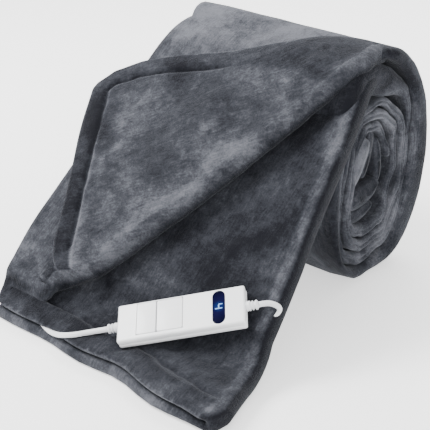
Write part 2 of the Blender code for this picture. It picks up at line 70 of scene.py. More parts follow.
# Each light's name, place, watts and width
LIGHTS = (("key", (-1.3, -0.9, 1.7), 88.0, 0.9), ("back", (-0.4, 1.2, 1.6), 44.0, 1.2),
          ("fill", (1.9, -0.9, 0.8), 24.0, 1.3))
for name, place, power, width in LIGHTS:
    light_data = bpy.data.lights.new(name, "AREA")
    light_data.energy = power
    light_data.size = width
    light = bpy.data.objects.new(name, light_data)
    light.location = place
    light.rotation_euler = (LIGHTS_FACE - Vector(place)).to_track_quat("-Z", "Y").to_euler()
    bpy.context.collection.objects.link(light)


def add_piece(name, shape, finish=None, smooth_to=40.0):
    """Makes a bmesh the finished mesh of a new object, its faces pointing out."""
    bmesh.ops.recalc_face_normals(shape, faces=shape.faces)
    mesh = bpy.data.meshes.new(name)
    shape.to_mesh(mesh)
    shape.free()
    mesh.shade_smooth()
    mesh.set_sharp_from_angle(angle=math.radians(smooth_to))
    if finish:
        mesh.materials.append(finish)
    piece = bpy.data.objects.new(name, mesh)
    bpy.context.collection.objects.link(piece)
    return piece


class Signal:
    """An output inside a material. Sums, products and the like of signals add their Math nodes."""

    def __init__(self, tree, socket=None):
        self.tree, self.socket = tree, socket

    def node(self, kind, settings, inputs, output=0):
        """Adds one node: its settings first, then the values or links of its inputs."""
        made = self.tree.nodes.new(kind)
        for name, value in settings.items():
            if name == "stops":
                ramp = made.color_ramp.elements
                while len(ramp) < len(value):
                    ramp.new(0.5)
                for stop, (position, colour) in zip(ramp, value):
                    stop.position, stop.color = position, (*colour, 1.0)
            else:
                setattr(made, name, value)
        for name, value in inputs.items():
            if isinstance(value, Signal):
                self.tree.links.new(value.socket, made.inputs[name])
            else:
                made.inputs[name].default_value = value
        return Signal(self.tree, made.outputs[output])

    def maths(self, operation, *values):
        """Adds a Math node on signals or numbers."""
        return self.node("ShaderNodeMath", {"operation": operation}, dict(enumerate(values)))

    def __add__(self, other):
        return self.maths("ADD", self, other)

    def __radd__(self, other):
        return self.maths("ADD", other, self)

    def __sub__(self, other):
        return self.maths("SUBTRACT", self, other)

    def __rsub__(self, other):
        return self.maths("SUBTRACT", other, self)

    def __mul__(self, other):
        return self.maths("MULTIPLY", self, other)

    def __rmul__(self, other):
        return self.maths("MULTIPLY", other, self)

    def cut(self, low, high):
        """0 below low, 1 above high, and smooth between them."""
        return self.node("ShaderNodeMapRange", {"interpolation_type": "SMOOTHSTEP"},
                         {"Value": self, "From Min": low, "From Max": high})

    def blend(self, first, second):
        """The first colour where this signal is 0, the second where it is 1."""
        return self.node("ShaderNodeMix", {"data_type": "RGBA"}, {0: self, 6: first, 7: second}, output=2)


def new_finish(name, constants):
    """A material with its shader's own constant sockets set, and the signal that starts its nodes."""
    finish = bpy.data.materials.new(name)
    finish.use_nodes = True
    shader = finish.node_tree.nodes["Principled BSDF"]
    for socket, value in constants.items():
        shader.inputs[socket].default_value = value
    return finish, shader, Signal(finish.node_tree)


def link(signal, shader, socket):
    """Feeds a signal to one of a shader's sockets."""
    signal.tree.links.new(signal.socket, shader.inputs[socket])


FLOOR_REACH = 4.0
floor_shape = bmesh.new()
bmesh.ops.create_grid(floor_shape, x_segments=1, y_segments=1, size=FLOOR_REACH)
floor_finish = new_finish("pale_floor", {
    "Base Color": (0.90, 0.90, 0.90, 1.0), "Roughness": 0.9, "Emission Color": (1.0, 1.0, 1.0, 1.0),
    "Emission Strength": 1.0})[0]
floor = add_piece("floor", floor_shape, floor_finish)

# ---------------------------------------------------------------- mains lead
# A round white two-core lead, moulded in soft plastic. It leaves the controller's left end, goes into the
# crease between the tail's two lowest plies and comes out beside the roll, where it is coiled.

BODY = "blanket_and_controller"
CORD = 0.0060
BOX_LENGTH, BOX_WIDTH, BOX_HEIGHT = 0.1388, 0.0462, 0.0140
RELIEF_LENGTH, RELIEF_GAP = 0.0130, 0.0006
# The controller lies on the slope of the tail: the middle of its underside, the way its length runs to its
# right end, and the way its face looks
BOX_PLACE, BOX_RUNS, BOX_LOOKS = (0.1064, -0.2913, 0.0474), (0.791, 0.560, 0.246), (0.075, -0.488, 0.870)
box_along = Vector(BOX_RUNS).normalized()
box_across = Vector(BOX_LOOKS).cross(box_along).normalized()
box_frame = Matrix.Translation(BOX_PLACE) @ Matrix(
    (box_along, box_across, box_along.cross(box_across))).transposed().to_4x4()


def lead_exit(direction, beyond=0.0):
    """Where a lead leaves its sleeve at the controller's left (-1) or right (1) end."""
    from_middle = BOX_LENGTH / 2 + RELIEF_GAP + RELIEF_LENGTH + beyond
    return box_frame @ Vector((direction * from_middle, 0.0, BOX_HEIGHT / 2))


STRETCH_STEPS = 20


def smooth_route(points, spacing):
    """Evenly spaced points of a smooth curve through a few given ones."""
    given = [Vector(point) for point in points]
    ends = [2 * given[0] - given[1]] + given + [2 * given[-1] - given[-2]]
    fine = []
    for a, b, c, d in zip(ends, ends[1:], ends[2:], ends[3:]):
        for k in range(STRETCH_STEPS):
            t = k / STRETCH_STEPS
            fine.append(0.5 * (2 * b + (c - a) * t + (2 * a - 5 * b + 4 * c - d) * t * t
                               + (3 * b - a - 3 * c + d) * t ** 3))
    fine.append(given[-1])
    gone = np.concatenate(([0.0], np.cumsum([(q - p).length for p, q in zip(fine, fine[1:])])))
    where = np.linspace(0.0, gone[-1], max(2, round(gone[-1] / spacing)) + 1)
    return [Vector(p) for p in zip(*(np.interp(where, gone, [p[axis] for p in fine]) for axis in range(3)))]


def add_lead(name, route, finish):
    """A round lead of the cord's thickness, closed at both ends, along a route's points."""
    curve = bpy.data.curves.new(name, "CURVE")
    curve.dimensions = "3D"
    curve.bevel_depth = CORD / 2
    curve.bevel_resolution = 4
    curve.use_fill_caps = True
    curve.resolution_u = 3
    spline = curve.splines.new("BEZIER")
    spline.bezier_points.add(len(route) - 1)
    for point, place in zip(spline.bezier_points, route):
        point.co = place
        point.handle_left_type = point.handle_right_type = "AUTO"
    curve.materials.append(finish)
    lead = bpy.data.objects.new(name, curve)
    bpy.context.collection.objects.link(lead)
    return lead


lead_finish, lead_shader, start = new_finish("lead_plastic", {"Coat Weight": 0.05})
place = start.node("ShaderNodeTexCoord", {}, {}, "Object")
handled = start.node("ShaderNodeTexNoise", {}, {"Vector": place, "Scale": 22.0, "Detail": 3.0})
LEAD_CLEAN, LEAD_HANDLED = (0.80, 0.81, 0.83, 1.0), (0.70, 0.71, 0.73, 1.0)
link(handled.cut(0.35, 0.75).blend(LEAD_CLEAN, LEAD_HANDLED), lead_shader, "Base Color")
grain = start.node("ShaderNodeTexNoise", {}, {"Vector": place, "Scale": 900.0, "Detail": 2.0})
link(0.36 + 0.16 * handled, lead_shader, "Roughness")
link(start.node("ShaderNodeBump", {}, {"Strength": 0.25, "Distance": 0.0002, "Height": grain}),
     lead_shader, "Normal")

mains_route = [lead_exit(-1), lead_exit(-1, 0.006), (0.0253, -0.3515, 0.0278), (0.0126, -0.3620, 0.0243),
               (0.0000, -0.3660, 0.0203), (-0.0120, -0.3665, 0.0166), (-0.0250, -0.3645, 0.0138),
               (-0.0400, -0.3605, 0.0130), (-0.0650, -0.3530, 0.0130), (-0.0950, -0.3480, 0.0130),
               (-0.1200, -0.3430, 0.0125), (-0.1390, -0.3330, 0.0085), (-0.1520, -0.3130, 0.0040),
               (-0.1610, -0.2850, 0.0031), (-0.1680, -0.2450, 0.0031), (-0.1740, -0.2000, 0.0031),
               (-0.1785, -0.1500, 0.0031), (-0.1785, -0.1041, 0.0043)]
COIL_CENTRE = Vector((-0.2150, -0.0750, 0.0))
TURN_RADII = (0.041, 0.035, 0.029, 0.029, 0.035, 0.041)
TURN_POINTS = 16
LOWER_TURNS = 3
PASSING_FROM = 0.75  # the share of a turn after which the lead moves over to the next turn's radius
COIL_LIFT = 0.0011
coil_low = COIL_LIFT + CORD / 2
coil_route = []
for k in range(TURN_POINTS * len(TURN_RADII) + 1):
    turn_number, into = divmod(k / TURN_POINTS, 1.0)
    now = int(min(turn_number, len(TURN_RADII) - 1))
    after = min(now + 1, len(TURN_RADII) - 1)
    passing = min(1.0, max(0.0, (into - PASSING_FROM) / (1 - PASSING_FROM))) if now < after else 0.0
    passing = passing * passing * (3 - 2 * passing)
    radius = TURN_RADII[now] + (TURN_RADII[after] - TURN_RADII[now]) * passing
    row_now, row_after = (0.0 if n < LOWER_TURNS else CORD for n in (now, after))
    angle = 2 * math.pi * k / TURN_POINTS
    coil_route.append(COIL_CENTRE + Vector((radius * math.cos(angle), radius * math.sin(angle),
                                            coil_low + row_now + (row_after - row_now) * passing)))
plug_rear = Vector((-0.1860, -0.0003, 0.0070))
end_route = [(-0.1785, -0.0460, 0.0085), (-0.1800, -0.0300, 0.0079), (-0.1840, -0.0180, 0.0072),
             plug_rear - Vector((0.0, 0.008, 0.0)), plug_rear - Vector((0.0, 0.0009, 0.0))]
MAINS_SPACING, END_SPACING, BLANKET_SPACING = 0.012, 0.010, 0.0045
mains_points = smooth_route(mains_route, MAINS_SPACING) + coil_route + smooth_route(end_route, END_SPACING)
mains_lead = add_lead("mains_lead_visual", mains_points, lead_finish)
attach(mains_lead, BODY)
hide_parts("mains_lead", "mains_coil", "mains_lead_end")

# ---------------------------------------------------------------- strain reliefs
# A short ringed sleeve at each end of the controller, moulded on to the lead in the same soft white plastic.
# It keeps the lead from being bent sharply where it leaves the shells.

SLEEVE = ((0.0, 0.0042), (0.0006, 0.0052), (0.0014, 0.0055), (0.0022, 0.0052), (0.0028, 0.0049),
          (0.0034, 0.0052), (0.0042, 0.0055), (0.0050, 0.0052), (0.0056, 0.0038), (0.0064, 0.0036),
          (0.0069, 0.0048), (0.0076, 0.0052), (0.0083, 0.0048), (0.0088, 0.0036), (0.0098, 0.0035),
          (0.0103, 0.0048), (0.0112, 0.0052), (0.0124, 0.0050), (0.0131, 0.0038), (0.0140, 0.0031))
SLEEVE_SINK = 0.0004
for name, direction in (("strain_relief_left", -1), ("strain_relief_right", 1)):
    sleeve_shape = bmesh.new()
    ring_points = [sleeve_shape.verts.new((along, 0.0, radius)) for along, radius in SLEEVE]
    profile = [sleeve_shape.edges.new(pair) for pair in zip(ring_points, ring_points[1:])]
    bmesh.ops.spin(sleeve_shape, geom=ring_points + profile, cent=(0.0, 0.0, 0.0), axis=(1.0, 0.0, 0.0),
                   angle=2 * math.pi, steps=36, use_merge=True)
    bmesh.ops.holes_fill(sleeve_shape, edges=[e for e in sleeve_shape.edges if e.is_boundary], sides=0)
    turn_round = Matrix.Rotation(0.0 if direction > 0 else math.pi, 4, "Z")
    start_at = Matrix.Translation((direction * (BOX_LENGTH / 2 - SLEEVE_SINK), 0.0, BOX_HEIGHT / 2))
    bmesh.ops.transform(sleeve_shape, matrix=box_frame @ start_at @ turn_round, verts=sleeve_shape.verts)
    sleeve = add_piece(name + "_sleeve", sleeve_shape, lead_finish, smooth_to=60.0)
    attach(sleeve, BODY)
    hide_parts(name)

# ---------------------------------------------------------------- blanket lead
# The short lead from the controller's right end, of the same white plastic. It loops over and goes into the
# blanket's side edge, where the rest of it is hidden.

blanket_route = [lead_exit(1, 0.0002), lead_exit(1, 0.003), (0.1786, -0.2427, 0.0752),
                 (0.1815, -0.2408, 0.0752), (0.1852, -0.2385, 0.0742), (0.1880, -0.2362, 0.0722),
                 (0.1893, -0.2352, 0.0695), (0.1890, -0.2362, 0.0667), (0.1880, -0.2386, 0.0646),
                 (0.1868, -0.2422, 0.0630), (0.1850, -0.2458, 0.0608), (0.1808, -0.2480, 0.0578),
                 (0.1765, -0.2488, 0.0550), (0.1715, -0.2490, 0.0518)]
blanket_lead = add_lead("blanket_lead_visual", smooth_route(blanket_route, BLANKET_SPACING), lead_finish)
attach(blanket_lead, BODY)
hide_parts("blanket_lead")

# ---------------------------------------------------------------- roll
# The wound body of the blanket: crushed flannel plush on both faces, folded lengthwise, so that each wrap
# shows a soft rounded fold at the roll's ends. The wraps go over the top, down the back and up the front.

ROLL_NEAR_X, ROLL_FAR_X = 0.150, -0.153
ROLL_AXIS_Z = 0.139
ROLL_HALF_HEIGHT, ROLL_HALF_BACK, ROLL_HALF_FRONT = 0.1455, 0.111, 0.092
ROLL_FAR_RISE = 0.0050  # how much higher its top is at the far end
ROLL_SAG, ROLL_LUMP = 0.10, 0.006  # shares of its size: how it spreads at the bottom, and how uneven it is
EYE_BACK = 0.008


def roll_point(turn, share):
    """A point of the roll's section: turn is 0 at the top and grows towards the front (-Y)."""
    half = ROLL_HALF_FRONT if math.sin(turn) > 0 else ROLL_HALF_BACK
    lump = 1.0 + ROLL_LUMP * math.sin(3 * turn + 1.0) + ROLL_SAG * max(0.0, -math.cos(turn)) ** 2
    y = -half * math.sin(turn) * lump
    z = max(0.0, ROLL_AXIS_Z + ROLL_HALF_HEIGHT * math.cos(turn))
    eye = Vector((-EYE_BACK, ROLL_AXIS_Z))
    return eye + share * (Vector((y, z)) - eye)


def eased(value, first, last):
    """0 before first and 1 after last, with a smooth way between them."""
    share = min(1.0, max(0.0, (value - first) / (last - first)))
    return share * share * (3 - 2 * share)


def cloth_ring(columns, rows, place):
    """A skin of cloth: columns run round its closed section and rows along it. place gives the point of a
    column and row, the cloth's own two measures there, which become its UV map, and the lie of its pile
    together with painted light and shade, kept as one point attribute."""
    shape = bmesh.new()
    bmesh.ops.create_grid(shape, x_segments=columns, y_segments=rows - 1, size=0.5)
    nap = shape.verts.layers.float.new("nap")
    measures = {}
    for vert in shape.verts:
        column, row_at = round((vert.co.x + 0.5) * columns), round((vert.co.y + 0.5) * (rows - 1))
        vert.co, measures[vert.index], vert[nap] = place(column, row_at)
    uv = shape.loops.layers.uv.new("cloth")
    for face in shape.faces:
        for loop in face.loops:
            loop[uv].uv = measures[loop.vert.index]
    return shape


# Each line: how far round the wraps have gone, in degrees, and the shares of the roll's outline where the
# wrap's outer and inner faces lie
WRAPS = ((-24, 0.86, 0.80), (6, 0.985, 0.90), (24, 1.0, 0.86), (45, 1.0, 0.81), (60, 1.0, 0.77),
         (75, 1.0, 0.70), (95, 1.0, 0.66), (120, 1.0, 0.655), (140, 1.0, 0.68), (157, 1.0, 0.79),
         (180, 1.0, 0.84), (205, 1.0, 0.88), (228, 1.0, 0.925), (250, 1.0, 0.83), (270, 1.0, 0.765),
         (295, 1.0, 0.70), (322, 0.97, 0.70), (345, 0.90, 0.63), (372, 0.85, 0.60), (392, 0.81, 0.66),
         (412, 0.765, 0.675), (432, 0.69, 0.61), (452, 0.645, 0.565), (480, 0.645, 0.56),
         (500, 0.67, 0.58), (517, 0.78, 0.67), (540, 0.83, 0.70), (565, 0.87, 0.74), (588, 0.915, 0.80),
         (610, 0.82, 0.71), (630, 0.755, 0.655), (655, 0.70, 0.615), (682, 0.70, 0.61), (705, 0.62, 0.545),
         (735, 0.595, 0.52), (765, 0.585, 0.49), (792, 0.565, 0.475), (815, 0.555, 0.47),
         (840, 0.55, 0.46), (860, 0.57, 0.47), (880, 0.65, 0.54), (900, 0.69, 0.57), (925, 0.73, 0.62),
         (948, 0.79, 0.68), (970, 0.70, 0.60), (990, 0.645, 0.555), (1015, 0.605, 0.525),
         (1042, 0.60, 0.51), (1065, 0.535, 0.45), (1095, 0.50, 0.41), (1125, 0.475, 0.39),
         (1152, 0.46, 0.37), (1180, 0.455, 0.36), (1215, 0.45, 0.35), (1240, 0.53, 0.42),
         (1260, 0.56, 0.45), (1285, 0.61, 0.49), (1308, 0.66, 0.55), (1330, 0.59, 0.50),
         (1350, 0.54, 0.46), (1375, 0.515, 0.435), (1402, 0.49, 0.40), (1425, 0.44, 0.36),
         (1455, 0.40, 0.33), (1490, 0.35, 0.28), (1520, 0.33, 0.27))
WRAP_STEP = 0.05
wrap_line = smooth_route([(degrees / 100, outer, inner) for degrees, outer, inner in WRAPS], WRAP_STEP)
FACE_STEPS, EDGE_STEPS = 10, 18
roll_columns = 2 * (FACE_STEPS + EDGE_STEPS)


def crease(position, width):
    """1 at a line, falling off over its width on both sides."""
    return math.exp(-(position / width) ** 2)


# How much painted light (or painted shade) lies on parts of the roll
TOP_PAINTED_LIGHT, RIM_PAINTED_LIGHT, INSIDE_PAINTED_LIGHT, CROWN_PAINTED_SHADE, FRONT_PAINTED_SHADE, BAND_PAINTED_SHADE = 0.125, 0.035, 0.015, -0.075, -0.03, -0.055


def roll_painted_light(place):
    """Painted light on the roll's top, on the inner wraps and along their folds at the near end, and painted
    shade near the crown of the outer wrap's end, on the outer band near that end and low at the front."""
    top = eased(place.z, 0.20, 0.27) * eased(place.x, 0.146, 0.10)
    y, z = place.y + EYE_BACK, place.z - ROLL_AXIS_Z
    outer = math.hypot(y / (ROLL_HALF_BACK if y > 0 else ROLL_HALF_FRONT), z / ROLL_HALF_HEIGHT)
    inside = outer < 0.80
    rim = eased(place.x, 0.138, 0.148) * inside
    crown = eased(place.z, 0.215, 0.240) * eased(place.x, 0.132, 0.146) * (outer < 0.93)
    front = eased(place.z, 0.10, 0.04) * eased(place.y, -0.02, -0.06)
    band = eased(outer, 0.80, 0.92) * eased(place.x, 0.09, 0.14)
    return (TOP_PAINTED_LIGHT * top + RIM_PAINTED_LIGHT * rim + INSIDE_PAINTED_LIGHT * inside + CROWN_PAINTED_SHADE * crown + FRONT_PAINTED_SHADE * front
            + BAND_PAINTED_SHADE * band)


GROOVE_WIDTH = 0.22


def fold_profile(step, near, far, round_by, groove):
    """Where a step round a wrap's section lies: x, and how far out of the middle. Both ends are soft folds,
    and a groove parts the two plies of a thick one."""
    if step < EDGE_STEPS or EDGE_STEPS + FACE_STEPS <= step < 2 * EDGE_STEPS + FACE_STEPS:
        at_near = step < EDGE_STEPS
        into = step if at_near else step - EDGE_STEPS - FACE_STEPS
        angle = (180 * into / EDGE_STEPS - 90) * (1 if at_near else -1)
        out = math.sin(math.radians(angle))
        back = round_by * (1 - math.cos(math.radians(angle))) + groove * crease(out, GROOVE_WIDTH)
        return (near - back if at_near else far + back), out
    run = far - near + 2 * round_by
    if step < EDGE_STEPS + FACE_STEPS:
        return near - round_by + run * (step - EDGE_STEPS) / FACE_STEPS, 1.0
    return far + round_by - run * (step - 2 * EDGE_STEPS - FACE_STEPS) / FACE_STEPS, -1.0


INSIDE_FROM, INSIDE_FULL = 300, 345  # degrees gone round where the outer wrap gives way to the ones inside it
DEEPEST, DEEP_FROM = 0.016, 0.46  # how far the inner wraps' ends stand back, and from which share inwards
START_BACK, START_TURN = 0.012, 12
NEAR_STEP, NEAR_DRIFT, FAR_STEP, FAR_DRIFT = 0.0035, 0.0060, 0.003, 0.004
FOLD_ROUND, FOLD_ROUND_LESS = 0.013, 0.004
PLY_GROOVE, THICK_WRAP = 0.0035, 0.0042
WOBBLE, EDGE_WOBBLE, LUMPS = 0.0016, 0.0022, 0.0012
LIFTED_END = 0.0055  # how far the bottom of the roll's near end stands off the floor
GIRTH = 0.78  # a mean turn's length round the roll, for the cloth's own measure
OVER_FLOOR = 0.0002
WELD = 0.000001


def roll_place(column, row_at):
    """Columns run round one wrap's section and rows along the winding, from the outer end inwards."""
    degrees, outer, inner = wrap_line[row_at]
    degrees *= 100
    turn = -math.radians(degrees)
    outer_y, outer_z = roll_point(turn, outer)
    inner_y, inner_z = roll_point(turn, inner)
    middle = Vector((0.0, (outer_y + inner_y) / 2, (outer_z + inner_z) / 2))
    half = Vector((0.0, (outer_y - inner_y) / 2, (outer_z - inner_z) / 2))
    share = (outer + inner) / 2
    inside = eased(degrees, INSIDE_FROM, INSIDE_FULL)
    deep = DEEPEST * max(0.0, 1 - share / DEEP_FROM) + START_BACK * max(0.0, 1 - degrees / START_TURN)
    drift = noise.noise(Vector((degrees / 38, 3.1, 0.7)))
    near = ROLL_NEAR_X - deep - inside * (NEAR_STEP - NEAR_DRIFT * drift)
    far = ROLL_FAR_X + 0.7 * deep + inside * (FAR_STEP + FAR_DRIFT * drift)
    groove = PLY_GROOVE * inside * (1 - crease(degrees - 372, 40)) if half.length > THICK_WRAP else 0.0
    step = column % roll_columns
    x, out = fold_profile(step, near, far, min(half.length, FOLD_ROUND - FOLD_ROUND_LESS * inside), groove)
    point = middle + half * out
    point.x = x
    edge_near = max(0.0, 1 - (ROLL_NEAR_X - x) / 0.05)
    wobble = (noise.noise(Vector((degrees / 17, x * 22, 1.3)))
              + 0.5 * noise.noise(Vector((degrees / 7, x * 40, 5.3))))
    point += half.normalized() * (inside * (WOBBLE + EDGE_WOBBLE * edge_near) * wobble
                                  + LUMPS * noise.noise(point * 42)) * min(1.0, share + 0.2)
    point.z = max(point.z, OVER_FLOOR) + LIFTED_END * eased(x, 0.118, 0.150) * eased(point.z, 0.030, 0.0)
    towards_far = (ROLL_NEAR_X - x) / (ROLL_NEAR_X - ROLL_FAR_X)
    point.z += ROLL_FAR_RISE * share * max(0.0, math.cos(turn)) * towards_far
    length_round = degrees / 360 * GIRTH * share
    return point, (x + out * half.length, length_round), roll_painted_light(point)


roll_shape = cloth_ring(roll_columns, len(wrap_line), roll_place)
bmesh.ops.remove_doubles(roll_shape, verts=roll_shape.verts, dist=WELD)
bmesh.ops.holes_fill(roll_shape, edges=[e for e in roll_shape.edges if e.is_boundary], sides=0)

plush_finish, shader, start = new_finish("crushed_plush", {
    "Sheen Weight": 0.12, "Sheen Roughness": 0.35, "Sheen Tint": (0.80, 0.83, 0.90, 1.0),
    "Specular IOR Level": 0.10})
place = start.node("ShaderNodeTexCoord", {}, {}, "Object")
cloth = start.node("ShaderNodeUVMap", {"uv_map": "cloth"}, {})
patches = start.node("ShaderNodeTexNoise", {}, {
    "Vector": place, "Scale": 14.0, "Detail": 3.0, "Roughness": 0.55, "Distortion": 0.6})
brushed = start.node("ShaderNodeTexNoise", {}, {
    "Vector": place, "Scale": 85.0, "Detail": 5.0, "Roughness": 0.66, "Distortion": 0.4})
pile = start.node("ShaderNodeTexNoise", {}, {
    "Vector": place, "Scale": 430.0, "Detail": 4.0, "Roughness": 0.85})
courses = start.node("ShaderNodeTexNoise", {}, {
    "Vector": start.node("ShaderNodeMapping", {}, {"Vector": cloth, "Scale": (430.0, 60.0, 1.0)}),
    "Scale": 1.0, "Detail": 2.0})
# The point attribute adds the pile's lie and the painted light and shade of each place to the tone.
nap = start.node("ShaderNodeAttribute", {"attribute_name": "nap"}, {}, "Fac")
lie = 0.45 * brushed + 0.40 * pile + 0.15 * courses
tone = 0.42 * patches + 0.22 * brushed + 0.25 * pile + 0.11 * courses + nap
PLUSH_DARK = (0.0065, 0.0070, 0.0100, 1.0)
PLUSH_MIDDLE = (0.027, 0.029, 0.036, 1.0)
PLUSH_LIGHT = (0.122, 0.126, 0.144, 1.0)
colour = tone.cut(0.37, 0.52).blend(PLUSH_DARK, PLUSH_MIDDLE)
colour = tone.cut(0.48, 0.69).blend(colour, PLUSH_LIGHT)
link(colour, shader, "Base Color")
link(0.98 - 0.2 * brushed, shader, "Roughness")
link(start.node("ShaderNodeBump", {}, {"Strength": 0.75, "Distance": 0.004, "Height": lie}), shader, "Normal")
roll = add_piece("roll_cloth", roll_shape, plush_finish, smooth_to=180.0)
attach(roll, BODY)
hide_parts("blanket")

# ---------------------------------------------------------------- innermost folds
# The start of the winding: thick soft folds of the same plush, packed into the roll's eye so that it isn't
# hollow. They are held by the wraps round them alone.

# Where each fold's section lies (y, z), its half length, half thickness, lean in degrees and how far its near
# end stands back
HEART = ((-0.0260, 0.1500, 0.0330, 0.0120, 60, 0.009), (-0.0040, 0.1560, 0.0290, 0.0085, 76, 0.014),
         (0.0150, 0.1450, 0.0300, 0.0070, 98, 0.012), (-0.0100, 0.1060, 0.0300, 0.0145, 12, 0.010),
         (-0.0170, 0.0840, 0.0270, 0.0095, 8, 0.012), (-0.0080, 0.1860, 0.0220, 0.0085, 18, 0.026))
ROUNDED_END = (0.0, 0.25, 0.5, 0.7, 0.86, 0.96, 1.0)
END_ROWS = len(ROUNDED_END) - 1
HEART_BOW, HEART_SWELL = 0.10, 0.16
FULLER_BEND = 0.75
# Painted light along each fold's full middle and painted shade over all the folds deep in the roll's eye, so
# their rounded ends stay dark; the first fold is lighter, with random patches of the pile.
HEART_PAINTED_SHADE, FULL_PAINTED_LIGHT, FIRST_NAP, PATCH_NAP = -0.03, 0.06, 0.08, 0.05
heart_shape = bmesh.new()
heart_columns, heart_rows = 40, 44
for number, (y, z, long_half, thin_half, lean, back) in enumerate(HEART):
    lean = math.radians(lean)

    def heart_place(column, row_at):
        """Columns run round the fold's bent oval section and rows from its near end to its far one."""
        around = 2 * math.pi * column / heart_columns
        rows_left = heart_rows - 1 - row_at
        from_end = min(row_at, rows_left, END_ROWS)
        full = math.sqrt(1 - (1 - ROUNDED_END[from_end]) ** 2)
        length = ROLL_NEAR_X - ROLL_FAR_X - 2 * back
        if row_at < END_ROWS:
            run = from_end / END_ROWS * thin_half
        elif rows_left < END_ROWS:
            run = length - from_end / END_ROWS * thin_half
        else:
            middle_rows = heart_rows - 1 - 2 * END_ROWS
            run = thin_half + (length - 2 * thin_half) * (row_at - END_ROWS) / middle_rows
        x = ROLL_NEAR_X - back - run
        long_part = math.cos(around) * long_half
        thin_part = math.copysign(abs(math.sin(around)) ** FULLER_BEND, math.sin(around)) * thin_half
        bow = HEART_BOW * long_part * long_part / long_half
        swell = 1 + HEART_SWELL * noise.noise(Vector((around, x * 30, number * 3.1)))
        long_part *= (0.75 + 0.25 * full) * swell
        thin_part = thin_part * full * swell + bow
        point = Vector((x, y + long_part * math.cos(lean) - thin_part * math.sin(lean),
                        z + long_part * math.sin(lean) + thin_part * math.cos(lean)))
        # Painted light on the full middle, painted shade in the eye, and random pile patches.
        nap = FULL_PAINTED_LIGHT * full + HEART_PAINTED_SHADE + FIRST_NAP * (number == 0) + PATCH_NAP * noise.noise(point * 60)
        return point, (x, around * long_half), nap

    fold_shape = cloth_ring(heart_columns, heart_rows, heart_place)
    bmesh.ops.remove_doubles(fold_shape, verts=fold_shape.verts, dist=WELD)
    bmesh.ops.holes_fill(fold_shape, edges=[e for e in fold_shape.edges if e.is_boundary], sides=0)
    fold_mesh = bpy.data.meshes.new("fold")
    fold_shape.to_mesh(fold_mesh)
    fold_shape.free()
    heart_shape.from_mesh(fold_mesh)
    bpy.data.meshes.remove(fold_mesh)
heart = add_piece("roll_heart", heart_shape, plush_finish, smooth_to=180.0)
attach(heart, BODY)

# ---------------------------------------------------------------- tail
# The loose end of the same cloth: one back-and-forth fold of plies that leaves the roll's top, slopes down
# to the floor and lies flat there, with the near corner of the top ply turned back as a flap.

PLY, PLY_GAP = 0.0124, 0.0016
PLY_PITCH = PLY + PLY_GAP
FOLD_RADIUS = (PLY_PITCH + PLY) / 2
MIDDLE_HEIGHT = 1.5 * PLY_PITCH
PATH_HALF_Y, PATH_HALF_Z = 0.065, 0.0988  # the oval over which the tail's underside leaves the roll
LANDING_RADIUS = 0.085
TAIL_START, TAIL_END = -0.062, 0.404
# The x of the tail's right and left sides, and of the flap's free edge, at places along it (s)
SIDE_S = (-0.062, 0.0, 0.207, 0.290, 0.350, 0.390, 0.404)
RIGHT_X = (0.139, 0.151, 0.184, 0.1925, 0.2115, 0.2255, 0.224)
LEFT_X = (-0.141, -0.152, -0.151, -0.151, -0.141, -0.119, -0.113)
FLAP_EDGE_S = (-0.062, -0.020, 0.026, 0.050, 0.074, 0.102, 0.385)
FLAP_EDGE_X = (0.120, 0.038, -0.087, -0.140, -0.170, -0.183, -0.050)
PRESSED_FAR, PRESSED_NEAR = 0.02, 0.11  # the share by which the roll presses the plies thinner
FAR_SLOPE, MEAN_SLOPE, SLOPE_GAIN = 37.5, 39.9, 4.8  # degrees; the near side is the steeper
ARC_REACH = 60.0
arc_turns = np.radians(np.linspace(-ARC_REACH, ARC_REACH, 601))
arc_speed = np.hypot((PATH_HALF_Y + MIDDLE_HEIGHT) * np.cos(arc_turns),
                     (PATH_HALF_Z + MIDDLE_HEIGHT) * np.sin(arc_turns))
arc_gone = np.concatenate(([0.0], np.cumsum((arc_speed[1:] + arc_speed[:-1]) / 2 * np.diff(arc_turns))))


def leaving_turn(slope):
    """How far round the roll's curve the tail leaves it, for the slope it then has."""
    return math.atan(PATH_HALF_Y / PATH_HALF_Z * math.tan(slope))


arc_zero = float(np.interp(leaving_turn(math.radians(MEAN_SLOPE)), arc_turns, arc_gone))


